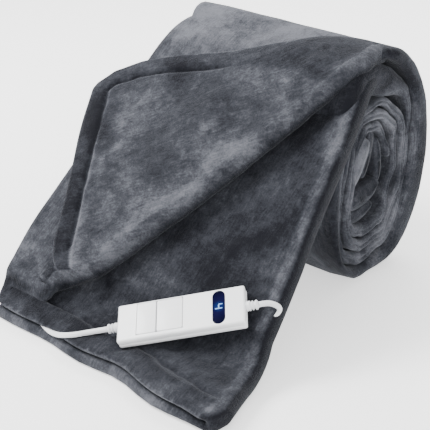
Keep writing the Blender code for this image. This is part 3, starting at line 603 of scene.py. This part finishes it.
def tail_point(x, s, height):
    """A point at a height above the tail's underside, s along the tail from where it leaves the roll."""
    thinner = PRESSED_FAR + (PRESSED_NEAR - PRESSED_FAR) * eased(x, 0.040, 0.140)
    height *= 1 - eased(s, 0.030, -0.060) * thinner
    slope = math.radians(FAR_SLOPE + SLOPE_GAIN * min(1.2, max(-0.2, (x + 0.13) / 0.32)))
    leave = leaving_turn(slope)
    beyond = s + arc_zero - float(np.interp(leave, arc_turns, arc_gone))
    if beyond <= 0:
        turn = float(np.interp(s + arc_zero, arc_gone, arc_turns))
        out = Vector((-PATH_HALF_Z * math.sin(turn), PATH_HALF_Y * math.cos(turn))).normalized()
        return Vector((x, -PATH_HALF_Y * math.sin(turn) + out.x * height,
                       ROLL_AXIS_Z + PATH_HALF_Z * math.cos(turn) + out.y * height))
    top_y, top_z = -PATH_HALF_Y * math.sin(leave), ROLL_AXIS_Z + PATH_HALF_Z * math.cos(leave)
    run = top_z / math.sin(slope)
    tangent = LANDING_RADIUS * math.tan(slope / 2)
    straight = run - tangent
    bend = (LANDING_RADIUS - MIDDLE_HEIGHT) * slope
    foot_y = top_y - run * math.cos(slope) - tangent
    if beyond <= straight:
        y, z, tilt = top_y - beyond * math.cos(slope), top_z - beyond * math.sin(slope), slope
    elif beyond <= straight + bend:
        tilt = slope * (1 - (beyond - straight) / bend)
        y, z = foot_y + LANDING_RADIUS * math.sin(tilt), LANDING_RADIUS * (1 - math.cos(tilt))
    else:
        y, z, tilt = foot_y - (beyond - straight - bend), 0.0, 0.0
    return Vector((x, y - height * math.sin(tilt), z + height * math.cos(tilt)))


SIDE_WAVE = 0.0015
SMOOTHED_OVER = (-0.018, -0.012, -0.006, 0.0, 0.006, 0.012, 0.018)


def right_edge(s):
    """The x of the tail's near side."""
    return float(np.interp(s, SIDE_S, RIGHT_X)) + SIDE_WAVE * math.sin(28 * s)


def left_edge(s):
    """The x of the tail's far side, its corners smoothed."""
    near_by = [np.interp(s + off, SIDE_S, LEFT_X) for off in SMOOTHED_OVER]
    return float(np.mean(near_by)) + SIDE_WAVE * math.sin(23 * s + 1)


def arc_points(centre_x, centre_h, radius, first, last, steps, square=1.0):
    """Points round an arc. A square below 1 makes it a fuller, squarer bend."""
    points = []
    for i in range(steps + 1):
        angle = math.radians(first + (last - first) * i / steps)
        across, up = math.cos(angle), math.sin(angle)
        points.append((centre_x + radius * math.copysign(abs(across) ** square, across),
                       centre_h + radius * math.copysign(abs(up) ** square, up)))
    return points


def flat_row(first_x, last_x, height, steps):
    """The points of a ply's flat face between two bends, without its first and last."""
    return [(first_x + (last_x - first_x) * i / steps, height) for i in range(1, steps)]


# The flap's fold runs slantwise over the tail: its x is this much, less these by s and by s squared
FLAP_FOLD_X, FLAP_FOLD_BY_S, FLAP_FOLD_BY_SS, FLAP_FOLD_LEAST = 0.132, 0.42, 0.19, -0.053
BOTTOM_INSET = 0.006
SIDE_BEND, FLAP_BEND = 0.72, 0.80
# The steps across each ply from the bottom up, and round the folds and the free ends
PLY_STEPS = (14, 88, 42, 100)
WIDE_FOLD_STEPS, LEFT_FOLD_STEPS, FREE_END_STEPS = 14, 12, 4


def plies_section(s, thin):
    """The plies' closed outline across the tail, back and forth from the bottom ply to the flap on one side
    of the cloth and back along the other, with the ply that each point belongs to."""
    right, left = right_edge(s) - FOLD_RADIUS, left_edge(s) + FOLD_RADIUS
    slanting = FLAP_FOLD_X - FLAP_FOLD_BY_S * s - FLAP_FOLD_BY_SS * s * s
    fold = max(FLAP_FOLD_LEAST, min(right + FOLD_RADIUS - 0.001, slanting)) - FOLD_RADIUS
    free = float(np.interp(s, FLAP_EDGE_S, FLAP_EDGE_X)) + 0.003 * math.sin(30 * s)
    free = min(free, fold - PLY) + PLY / 2
    sides = []
    for outside in (True, False):
        wide, tight = FOLD_RADIUS - thin, PLY_GAP / 2 + thin
        low, high = (thin, PLY - thin) if outside else (PLY - thin, thin)
        radii = (wide, tight, wide) if outside else (tight, wide, tight)
        middle = [FOLD_RADIUS + PLY_PITCH * level for level in range(3)]
        face = [PLY_PITCH * level + (low, high)[level % 2] for level in range(4)]
        edge, sign = PLY / 2 - thin, -1 if outside else 1
        parts = (arc_points(left - BOTTOM_INSET, PLY / 2, edge, 180 - 15 * sign, 180 - 90 * sign,
                            FREE_END_STEPS),
                 flat_row(left - BOTTOM_INSET, right, face[0], PLY_STEPS[0]),
                 arc_points(right, middle[0], radii[0], -90, 90, WIDE_FOLD_STEPS, SIDE_BEND),
                 flat_row(right, left, face[1], PLY_STEPS[1]),
                 arc_points(left, middle[1], radii[1], 270, 90, LEFT_FOLD_STEPS),
                 flat_row(left, fold, face[2], PLY_STEPS[2]),
                 arc_points(fold, middle[2], radii[2], -90, 90, WIDE_FOLD_STEPS, FLAP_BEND),
                 flat_row(fold, free, face[3], PLY_STEPS[3]),
                 arc_points(free, 3 * PLY_PITCH + PLY / 2, edge, 180 + 90 * sign, 180 + 15 * sign,
                            FREE_END_STEPS))
        side = [(x, height, number, outside) for number, part in enumerate(parts) for x, height in part]
        sides.append(side)
    return sides[0] + sides[1][::-1], free - PLY / 2, fold + FOLD_RADIUS


CORNER_ROUND = 0.024
THIRD_PLY_BACK, TOP_PLY_BACK = 0.026, 0.009


def end_shift(x, s, height):
    """How far a place near the tail's end lies beyond a straight end: the upper two plies fall short of it,
    and the near corner is round."""
    corner = eased(x, 0.070, 0.170)
    wave = 0.003 * math.sin(26 * x + 0.5) + 0.0015 * math.sin(61 * x)
    past = max(0.0, (x - right_edge(s) + CORNER_ROUND) / CORNER_ROUND)
    rounded = CORNER_ROUND * (1 - math.sqrt(max(0.0, 1 - past * past)))
    back = THIRD_PLY_BACK * eased(height, 0.020, 0.034) + TOP_PLY_BACK * eased(height, 0.0405, 0.048)
    under = 0.0045 * crease(x - 0.150, 0.045) * eased(height, 0.016, 0.010)
    return eased(s, 0.30, TAIL_END) * (wave + 0.0115 * corner - 0.28 * height * (1 - 1.6 * corner)
                                       - back - 0.8 * rounded + under)


def line_distance(x, s, line):
    """How far a place on the flap lies from a line of (x, s) points."""
    nearest = 1.0
    for (ax, a), (bx, b) in zip(line, line[1:]):
        dx, ds = bx - ax, b - a
        share = min(1.0, max(0.0, ((x - ax) * dx + (s - a) * ds) / (dx * dx + ds * ds)))
        nearest = min(nearest, math.hypot(x - ax - share * dx, s - a - share * ds))
    return nearest


LEAD_ON_CLOTH = 40  # the mains lead's first points, that lie on or in the tail
fine_lead = smooth_route(mains_points[:LEAD_ON_CLOTH], 0.002)
lead_line = kdtree.KDTree(len(fine_lead))
for number, place_on_lead in enumerate(fine_lead):
    lead_line.insert(place_on_lead, number)
lead_line.balance()
to_box = box_frame.inverted()
LEAD_CLEAR = CORD / 2 + 0.0012
TOUCHING = 0.0002
# The cloth gives way under the controller: the gap round it, how deep it sinks, and how fast, how far and how
# high the cloth beside it rises again
BOX_CLEAR, DENT, DENT_SLOPE, DENT_REACH, DENT_HEIGHT = 0.0006, 0.0005, 1.1, 0.012, 0.03


def pressed(point):
    """Moves a point of the cloth out of the controller and the leads that lie on it."""
    local = to_box @ point
    beside = max(abs(local.x) - BOX_LENGTH / 2 - BOX_CLEAR, abs(local.y) - BOX_WIDTH / 2 - BOX_CLEAR, 0.0)
    limit = -DENT + DENT_SLOPE * max(0.0, beside - DENT)
    if local.z > limit and beside < DENT_REACH and local.z < DENT_HEIGHT:
        point = box_frame @ Vector((local.x, local.y, limit))
    near, _, distance = lead_line.find(point)
    if distance < LEAD_CLEAR:
        away = (point - near).normalized() if distance > TOUCHING else Vector((0.0, 0.0, -1.0))
        point = near + away * LEAD_CLEAR
    return point


END_DEPTH = 0.0062
# The rows lie closer together near the roll, and closest near the tail's end
UPPER_ROW, LANDING_ROW, END_ROW = 0.0027, 0.0042, 0.0022
end_rows = [END_DEPTH * (1 - math.cos(math.radians(a))) for a in (0, 20, 40, 60, 80)]
tail_rows = ([TAIL_START + d for d in end_rows] + list(np.arange(TAIL_START + 0.0085, 0.140, UPPER_ROW))
             + list(np.arange(0.141, 0.320, LANDING_ROW)) + list(np.arange(0.322, TAIL_END - 0.0060, END_ROW))
             + [TAIL_END - d for d in end_rows[::-1]])
tail_sections = []
for s in tail_rows:
    bulge = max(0.0, 1 - min(s - TAIL_START, TAIL_END - s) / END_DEPTH)
    tail_sections.append(plies_section(s, PLY / 2 * (1 - math.sqrt(max(0.0, 1 - bulge * bulge)))))
tail_columns = len(tail_sections[0][0])
FREE_UPPER = [(x, s) for x, s in zip(FLAP_EDGE_X, FLAP_EDGE_S) if s < 0.11]
FREE_LEFT = [(x, s) for x, s in zip(FLAP_EDGE_X, FLAP_EDGE_S) if s > 0.10]
HEM = 0.025
SEAM_WIDTH, SEAM_DEPTH, SEAM_PULL, MITRE_DEPTH = 0.0028, 0.0026, 0.0012, 0.0018
FLAP_WAVE, FLAP_RIPPLE, HEM_PUFF, BESIDE_PUFF = 0.0045, 0.0013, 0.0011, 0.0010
# How much lighter (or darker) the flap is: its pile overall, its darker hems and a darker band below the
# upper hem, painted shade in a band inside the left seam, a painted highlight beside the seam and painted
# shade in it, a painted highlight along the free edge and painted light by the fold
FLAP_NAP, LEFT_HEM_NAP, UPPER_HEM_NAP, UPPER_BAND_NAP, LEFT_BAND_PAINTED_SHADE = 0.050, -0.125, -0.070, -0.045, -0.050
SEAM_PAINTED_HIGHLIGHT, SEAM_PAINTED_SHADE, EDGE_PAINTED_HIGHLIGHT, BY_FOLD_PAINTED_LIGHT = 0.060, -0.05, 0.10, 0.020


def flap_finish(x, s, free, fold):
    """The flap's lift, and its pile with painted light and shade: soft wide waves, and the hem, whose seam
    lies in a groove and whose corner is folded to a mitre, with painted shade in the seam and a painted
    highlight beside it."""
    lift = (FLAP_WAVE * noise.noise(Vector((x * 17 + s * 8, s * 12, 4.3)))
            + FLAP_RIPPLE * noise.noise(Vector((x * 55, s * 45, 2.3))))
    lift *= min(1.0, (fold - x) / 0.03, max(0.0, x - free) / 0.02)
    upper, left = line_distance(x, s, FREE_UPPER), line_distance(x, s, FREE_LEFT)
    hem_at = min(left, upper)
    seen = 1.0 if left < upper else eased(x, 0.02, -0.05)
    fold_line = min(0.0, hem_at - HEM) / HEM
    pull = 0.6 + 0.8 * noise.noise(Vector((x * 70, s * 70, 9.0)))
    puffed = eased(hem_at, HEM, HEM + 0.004) * (1 - eased(hem_at, HEM + 0.006, HEM + 0.030)) * seen
    lift += HEM_PUFF * (1 - (2 * fold_line + 1) ** 2) * (hem_at < HEM) + BESIDE_PUFF * puffed
    lift -= seen * (SEAM_DEPTH * crease(hem_at - HEM, SEAM_WIDTH)
                    + SEAM_PULL * pull * crease(hem_at - HEM, 0.010))
    lift -= MITRE_DEPTH * crease(upper - left, 0.0032) * (hem_at < HEM)
    if left < upper:
        nap = FLAP_NAP + LEFT_HEM_NAP * eased(HEM - hem_at, -0.001, 0.003)
    else:
        nap = FLAP_NAP + UPPER_HEM_NAP * eased(HEM + 0.012 - hem_at, -0.016, 0.016)
    nap += UPPER_BAND_NAP * crease(upper - 0.055, 0.028)
    # Painted highlight beside the seam and painted shade in it, painted shade in a band inside the left seam,
    # a painted highlight along the free edge and painted light by the fold.
    nap += seen * (SEAM_PAINTED_HIGHLIGHT * crease(hem_at - HEM - 0.0035, 0.0018)
                   + SEAM_PAINTED_SHADE * crease(hem_at - HEM, 0.0020))
    nap += LEFT_BAND_PAINTED_SHADE * crease(left - HEM - 0.020, 0.013) * eased(s, 0.10, 0.16)
    nap += EDGE_PAINTED_HIGHLIGHT * crease(hem_at - 0.0010, 0.0022) + BY_FOLD_PAINTED_LIGHT * crease(fold - x - 0.012, 0.016)
    return lift, nap


CLOSED_UP, TOP_THINNER = 0.0045, 0.70


def upper_height(height, from_end):
    """Near the end the two upper plies close up into one soft roll."""
    near = eased(from_end, 0.050, 0.004)
    gap_at = 3 * PLY_PITCH - PLY_GAP / 2
    if height > gap_at:
        return gap_at + CLOSED_UP * near + (height - gap_at) * (1 - TOP_THINNER * near)
    return height + CLOSED_UP * near * eased(height, 0.029, gap_at)


HEM_SEAM_BACK, HEM_SEAM_DEPTH, HEM_PUFF_BACK, HEM_PUFF_HEIGHT = 0.021, 0.0030, 0.011, 0.0022
LAST_STRIP = 0.019  # the darker strip of the second ply's hem
# How far the plies wave, and how high the second ply, the third and the flap's fold ripple
PLY_WAVE, SECOND_LUMPS, SECOND_BUMPS, THIRD_RIPPLE, FOLD_RIPPLE = 0.0022, 0.0018, 0.0009, 0.0014, 0.0010
# How much lighter (or darker) each part of the tail is: the pile's lie on the plies, with painted light and
# shade at the ply ends, along the second ply's hem seam, over and under the flap's fold and on the right
# fold's top and side
SECOND_NAP, LANDED_NAP, STRIP_NAP, HEM_SEAM_PAINTED_SHADE, HEM_RIM_PAINTED_HIGHLIGHT, SIDE_NAP = -0.062, 0.030, -0.055, -0.025, 0.02, 0.075
THIRD_NAP, THIRD_BY_ROLL, LEFT_FOLD_NAP, LEFT_FOLD_BY_ROLL = 0.055, 0.035, 0.03, 0.06
FOLD_TOP_PAINTED_LIGHT, FOLD_UNDER_PAINTED_SHADE, SIDE_TOP_PAINTED_LIGHT, SIDE_UNDER_PAINTED_SHADE = 0.055, -0.13, 0.05, -0.15
LOWER_END_PAINTED_LIGHT, UPPER_END_PAINTED_SHADE = 0.045, -0.05
FLAP_GRAIN = (0.624, 0.780)  # the way the knitted lines of the turned flap run


def tail_place(column, row_at):
    """The parts of the section are: 0 bottom end, 1 bottom ply, 2 right fold, 3 second ply, 4 left fold,
    5 third ply, 6 the flap's fold, 7 the flap and 8 its free edge."""
    s = tail_rows[row_at]
    section, free, fold = tail_sections[row_at]
    x, height, part, outside = section[column % tail_columns]
    from_end = TAIL_END - s
    closing = min(1.0, min(s - TAIL_START, from_end) / 0.010)
    lift = PLY_WAVE * noise.noise(Vector((x * 13, s * 11, 0.3))) * min(1.0, height / 0.02)
    # Painted light on the lower plies' ends, and a thin painted shade where the upper plies' ends rest on the
    # ply below.
    if part < 4:
        nap = LOWER_END_PAINTED_LIGHT * crease(from_end - 0.001, 0.0045)
    else:
        nap = UPPER_END_PAINTED_SHADE * crease(from_end, 0.0012)
    if part >= 7 and outside:
        raised, flap_pile_and_painted_light = flap_finish(x, s, free, fold)
        lift += closing * raised
        nap += flap_pile_and_painted_light
    elif part == 6:
        # Painted light over the top of the flap's fold and painted shade under it.
        around = (height - FOLD_RADIUS - 2 * PLY_PITCH) / FOLD_RADIUS
        nap += (FOLD_TOP_PAINTED_LIGHT * eased(around, 0.1, 0.7)
                + FOLD_UNDER_PAINTED_SHADE * eased(around, 0.25, -0.5) * eased(from_end, 0.010, 0.045))
        lift += closing * FOLD_RIPPLE * noise.noise(Vector((s * 60, height * 20, 6.0)))
    elif part == 5 and not outside:
        nap += THIRD_NAP + THIRD_BY_ROLL * eased(s, 0.045, -0.050)
        lift += closing * THIRD_RIPPLE * noise.noise(Vector((x * 40, s * 40, 8.0)))
    elif part == 4:
        nap += LEFT_FOLD_NAP + LEFT_FOLD_BY_ROLL * eased(s, 0.045, -0.050)
    elif part == 3 and outside:
        lumps = noise.noise(Vector((x * 34, s * 30, 7.3)))
        bumps = noise.noise(Vector((x * 90, s * 90, 1.0)))
        strays = 0.002 * math.sin(55 * x) + 0.0035 * noise.noise(Vector((x * 60, 0.0, 3.7)))
        hem = crease(from_end - HEM_SEAM_BACK - strays, 0.0036)
        lift += closing * (SECOND_LUMPS * lumps + SECOND_BUMPS * bumps - HEM_SEAM_DEPTH * hem
                           + HEM_PUFF_HEIGHT * crease(from_end - HEM_PUFF_BACK, 0.006))
        at_side = crease(right_edge(s) - x - 0.018, 0.014)
        ruffled = 0.55 + 1.2 * noise.noise(Vector((x * 30, s * 17, 2.0)))
        # Painted shade in the hem seam's groove and a painted highlight along its rim.
        nap += (SECOND_NAP + LANDED_NAP * eased(s, 0.28, 0.33)
                + STRIP_NAP * eased(LAST_STRIP - from_end, -0.002, 0.002) + HEM_SEAM_PAINTED_SHADE * hem
                + HEM_RIM_PAINTED_HIGHLIGHT * crease(from_end - 0.0170, 0.003) + SIDE_NAP * at_side * ruffled)
    elif part == 2:
        # Painted light along the top of the right fold and painted shade on its side below.
        around = (height - FOLD_RADIUS) / FOLD_RADIUS
        nap += SIDE_TOP_PAINTED_LIGHT * eased(around, 0.80, 0.95) + SIDE_UNDER_PAINTED_SHADE * eased(around, 0.88, 0.60)
    shift, left = end_shift(x, s, height), left_edge(s)
    x += (left_edge(s + shift) - left) * eased(x, left + 0.060, left)
    point = tail_point(x, s + shift, upper_height(height, from_end) + lift)
    point.z = max(point.z, OVER_FLOOR)
    if part in (2, 3):
        point = pressed(point)
    if part >= 6:
        along, across = FLAP_GRAIN
        return point, (along * x + across * s, -across * x + along * s), nap
    return point, (x, s), nap


TAIL_WELD = 0.00001
# The flap's tip at the tail's end is smoothed: within this reach of its foot, and over this height
TIP_X, TIP_S, TIP_HEIGHT = -0.060, 0.360, 0.045
TIP_REACH, TIP_OVER, TIP_SMOOTHINGS = 0.052, 0.030, 24
tail_shape = cloth_ring(tail_columns, len(tail_rows), tail_place)
bmesh.ops.remove_doubles(tail_shape, verts=tail_shape.verts, dist=TAIL_WELD)
foot = tail_point(TIP_X, TIP_S, TIP_HEIGHT)
soft_tip = [v for v in tail_shape.verts if (v.co - foot).length < TIP_REACH and v.co.z > TIP_OVER]
for _ in range(TIP_SMOOTHINGS):
    bmesh.ops.smooth_vert(tail_shape, verts=soft_tip, factor=0.5, use_axis_x=True, use_axis_y=True,
                          use_axis_z=True)
tail = add_piece("tail_cloth", tail_shape, plush_finish, smooth_to=180.0)
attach(tail, BODY)
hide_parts("blanket")

# ---------------------------------------------------------------- controller shells
# A lower and an upper shell of glossy white moulded plastic, snapped together round the circuit board. They
# are the CAD's own meshes, with recesses for the keys and the window.

controller_finish, controller_shader, start = new_finish("controller_plastic", {"Coat Weight": 0.10})
place = start.node("ShaderNodeTexCoord", {}, {}, "Object")
haze = start.node("ShaderNodeTexNoise", {}, {"Vector": place, "Scale": 30.0, "Detail": 4.0})
SHELL_CLEAN, SHELL_HANDLED = (0.92, 0.93, 0.94, 1.0), (0.87, 0.88, 0.90, 1.0)
link(haze.cut(0.3, 0.8).blend(SHELL_CLEAN, SHELL_HANDLED), controller_shader, "Base Color")
link(0.26 + 0.2 * haze, controller_shader, "Roughness")
fine = start.node("ShaderNodeTexNoise", {}, {"Vector": place, "Scale": 1400.0, "Detail": 2.0})
link(start.node("ShaderNodeBump", {}, {"Strength": 0.12, "Distance": 0.0001, "Height": fine}),
     controller_shader, "Normal")
for node_name in ("controller_base", "controller_cover"):
    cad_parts[node_name].material_slots[0].material = controller_finish

# ---------------------------------------------------------------- keys
# Two wide caps of the shells' white plastic, side by side in one recess of the upper shell. Each slides in it
# and presses straight down on its switch.

KEYS = (("key_left", 0.0214, 0.0430), ("key_right", 0.0436, 0.0721))  # their ends, from the shells' left end
KEY_BACK, KEY_FRONT = 0.0208, 0.0180
KEY_PLAY, KEY_THICK, KEY_PROUD = 0.0007, 0.0024, 0.0004
KEY_CORNER, KEY_RIM = 0.0018, 0.0005
for name, first, last in KEYS:
    key_shape = bmesh.new()
    bmesh.ops.create_cube(key_shape, size=1.0)
    bmesh.ops.scale(key_shape, vec=(last - first - KEY_PLAY, KEY_BACK + KEY_FRONT - KEY_PLAY, KEY_THICK),
                    verts=key_shape.verts)
    upright = [edge for edge in key_shape.edges
               if abs(edge.verts[0].co.z - edge.verts[1].co.z) > KEY_THICK / 2]
    bmesh.ops.bevel(key_shape, geom=upright, offset=KEY_CORNER, offset_type="OFFSET", affect="EDGES",
                    segments=5, profile=0.5, material=-1)
    rim = [edge for edge in key_shape.edges if min(vert.co.z for vert in edge.verts) > KEY_THICK / 4]
    bmesh.ops.bevel(key_shape, geom=rim, offset=KEY_RIM, offset_type="OFFSET", affect="EDGES", segments=3,
                    profile=0.5, material=-1)
    middle = Vector(((first + last - BOX_LENGTH) / 2, (KEY_BACK - KEY_FRONT) / 2,
                     BOX_HEIGHT + KEY_PROUD - KEY_THICK / 2))
    bmesh.ops.transform(key_shape, matrix=box_frame @ Matrix.Translation(middle), verts=key_shape.verts)
    key = add_piece(name + "_cap", key_shape, controller_finish, smooth_to=50.0)
    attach(key, name + "_body")
    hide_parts(name)

# ---------------------------------------------------------------- display window
# A dark, pill-shaped lens of clear tinted plastic, set flush into the upper shell at right angles to its
# length. The display behind it lets a blue glow through.

WINDOW_FROM_LEFT = 0.1111
WINDOW_AT = WINDOW_FROM_LEFT - BOX_LENGTH / 2
WINDOW_WIDTH, WINDOW_LENGTH, WINDOW_THICK, WINDOW_RIM = 0.0134, 0.0410, 0.0016, 0.0004
WINDOW_SEGMENTS = 48
DIGIT_BACK = 0.0010
digit_at = box_frame @ Vector((WINDOW_AT, DIGIT_BACK, BOX_HEIGHT))
window_finish, window_shader, start = new_finish("display_lens", {
    "Specular IOR Level": 0.0, "Emission Strength": 0.7})
place = start.node("ShaderNodeTexCoord", {}, {}, "Object")
away = start.node("ShaderNodeVectorMath", {"operation": "DISTANCE"}, {0: place, 1: digit_at}, "Value")
tint = start.node("ShaderNodeTexNoise", {}, {"Vector": place, "Scale": 120.0, "Detail": 2.0})
LENS_DARK, LENS_LIGHT = (0.003, 0.003, 0.012, 1.0), (0.005, 0.005, 0.018, 1.0)
link(tint.cut(0.3, 0.8).blend(LENS_DARK, LENS_LIGHT), window_shader, "Base Color")
GLOW_NEAR, GLOW_ROUND = (0.014, 0.055, 0.300, 1.0), (0.005, 0.003, 0.055, 1.0)
GLOW_AWAY = (0.001, 0.001, 0.008, 1.0)
glow = away.cut(0.001, 0.0085).blend(GLOW_NEAR, GLOW_ROUND)
link(away.cut(0.008, 0.020).blend(glow, GLOW_AWAY), window_shader, "Emission Color")
link(0.22 + 0.10 * tint, window_shader, "Roughness")
lens_shape = bmesh.new()
bmesh.ops.create_circle(lens_shape, cap_ends=True, segments=WINDOW_SEGMENTS, radius=WINDOW_WIDTH / 2,
                        matrix=Matrix.Rotation(math.pi / WINDOW_SEGMENTS, 4, "Z"))
for vert in lens_shape.verts:
    vert.co.y += math.copysign((WINDOW_LENGTH - WINDOW_WIDTH) / 2, vert.co.y)
raised_face = bmesh.ops.extrude_face_region(lens_shape, geom=lens_shape.faces[:])
raised_verts = [part for part in raised_face["geom"] if isinstance(part, bmesh.types.BMVert)]
bmesh.ops.translate(lens_shape, verts=raised_verts, vec=(0.0, 0.0, WINDOW_THICK))
rim = [edge for edge in lens_shape.edges if min(vert.co.z for vert in edge.verts) > WINDOW_THICK / 2]
bmesh.ops.bevel(lens_shape, geom=rim, offset=WINDOW_RIM, offset_type="OFFSET", affect="EDGES", segments=3,
                profile=0.5, material=-1)
set_in = Matrix.Translation((WINDOW_AT, 0.0, BOX_HEIGHT - WINDOW_THICK))
bmesh.ops.transform(lens_shape, matrix=box_frame @ set_in, verts=lens_shape.verts)
lens = add_piece("display_lens", lens_shape, window_finish, smooth_to=50.0)
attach(lens, BODY)
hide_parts("display_window")

# ---------------------------------------------------------------- lit digit
# A seven-segment 4 of three light bars. In the real controller it shines through the lens, and here it lies
# a hair over it. Its top points to the controller's right end.

digit_finish, digit_shader, start = new_finish("lit_segment", {
    "Base Color": (0.02, 0.05, 0.12, 1.0), "Roughness": 0.4, "Emission Strength": 1.6})
place = start.node("ShaderNodeTexCoord", {}, {}, "Object")
away = start.node("ShaderNodeVectorMath", {"operation": "DISTANCE"}, {0: place, 1: digit_at}, "Value")
SEGMENT_MIDDLE, SEGMENT_END = (0.26, 0.56, 1.0, 1.0), (0.10, 0.30, 0.85, 1.0)
link(away.cut(0.0, 0.006).blend(SEGMENT_MIDDLE, SEGMENT_END), digit_shader, "Emission Color")
SEGMENT, SEGMENT_THICK, SEGMENT_CORNER = 0.0012, 0.00014, 0.0003
DIGIT_LIFT = 0.00008
# The long stroke, the bar and the short stroke: x and y of the middle, length along and across the controller
STROKES = ((0.0, -0.0026, 0.0080, SEGMENT), (0.0, 0.0, SEGMENT, 0.0046), (0.0021, 0.0026, 0.0042, SEGMENT))
digit_shape = bmesh.new()
for x, y, along, across in STROKES:
    made = bmesh.ops.create_cube(digit_shape, size=1.0, matrix=Matrix.Translation((x, y, 0.0)) @ (
        Matrix.Diagonal((along, across, SEGMENT_THICK, 1.0))))
    upright = {edge for vert in made["verts"] for edge in vert.link_edges
               if abs(edge.verts[0].co.z - edge.verts[1].co.z) > SEGMENT_THICK / 2}
    bmesh.ops.bevel(digit_shape, geom=list(upright), offset=SEGMENT_CORNER, offset_type="OFFSET",
                    affect="EDGES", segments=3, profile=0.5, material=-1)
on_lens = Matrix.Translation((WINDOW_AT, DIGIT_BACK, BOX_HEIGHT + DIGIT_LIFT))
bmesh.ops.transform(digit_shape, matrix=box_frame @ on_lens, verts=digit_shape.verts)
digit = add_piece("display_digit", digit_shape, digit_finish, smooth_to=50.0)
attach(digit, BODY)

# ---------------------------------------------------------------- plug
# A two-pin plug at the mains lead's far end: a body moulded on to the lead in the same plastic, and two
# nickel-plated pins. All three are the CAD's own meshes.

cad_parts["plug_body"].material_slots[0].material = lead_finish
pin_finish, pin_shader, start = new_finish("nickel_pin", {"Metallic": 1.0})
place = start.node("ShaderNodeTexCoord", {}, {}, "Object")
rub = start.node("ShaderNodeTexNoise", {}, {"Vector": place, "Scale": 300.0, "Detail": 3.0})
NICKEL_BRIGHT, NICKEL_RUBBED = (0.68, 0.66, 0.62, 1.0), (0.58, 0.57, 0.54, 1.0)
link(rub.blend(NICKEL_BRIGHT, NICKEL_RUBBED), pin_shader, "Base Color")
link(0.18 + 0.2 * rub, pin_shader, "Roughness")
for node_name in ("plug_pin_left", "plug_pin_right"):
    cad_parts[node_name].material_slots[0].material = pin_finish

# ---------------------------------------------------------------- cord tie
# A dark woven strap round the stored coil of the mains lead, closed on itself. It is the CAD's own mesh with
# a finish of small loops.

tie_finish, tie_shader, start = new_finish("woven_tie", {"Roughness": 0.8})
place = start.node("ShaderNodeTexCoord", {}, {}, "Object")
loops = start.node("ShaderNodeTexVoronoi", {}, {"Vector": place, "Scale": 900.0})
TIE_DARK, TIE_LIGHT = (0.05, 0.05, 0.055, 1.0), (0.13, 0.13, 0.14, 1.0)
link(loops.cut(0.1, 0.6).blend(TIE_DARK, TIE_LIGHT), tie_shader, "Base Color")
link(start.node("ShaderNodeBump", {}, {"Strength": 0.6, "Distance": 0.0005, "Height": loops}),
     tie_shader, "Normal")
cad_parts["cord_tie"].material_slots[0].material = tie_finish
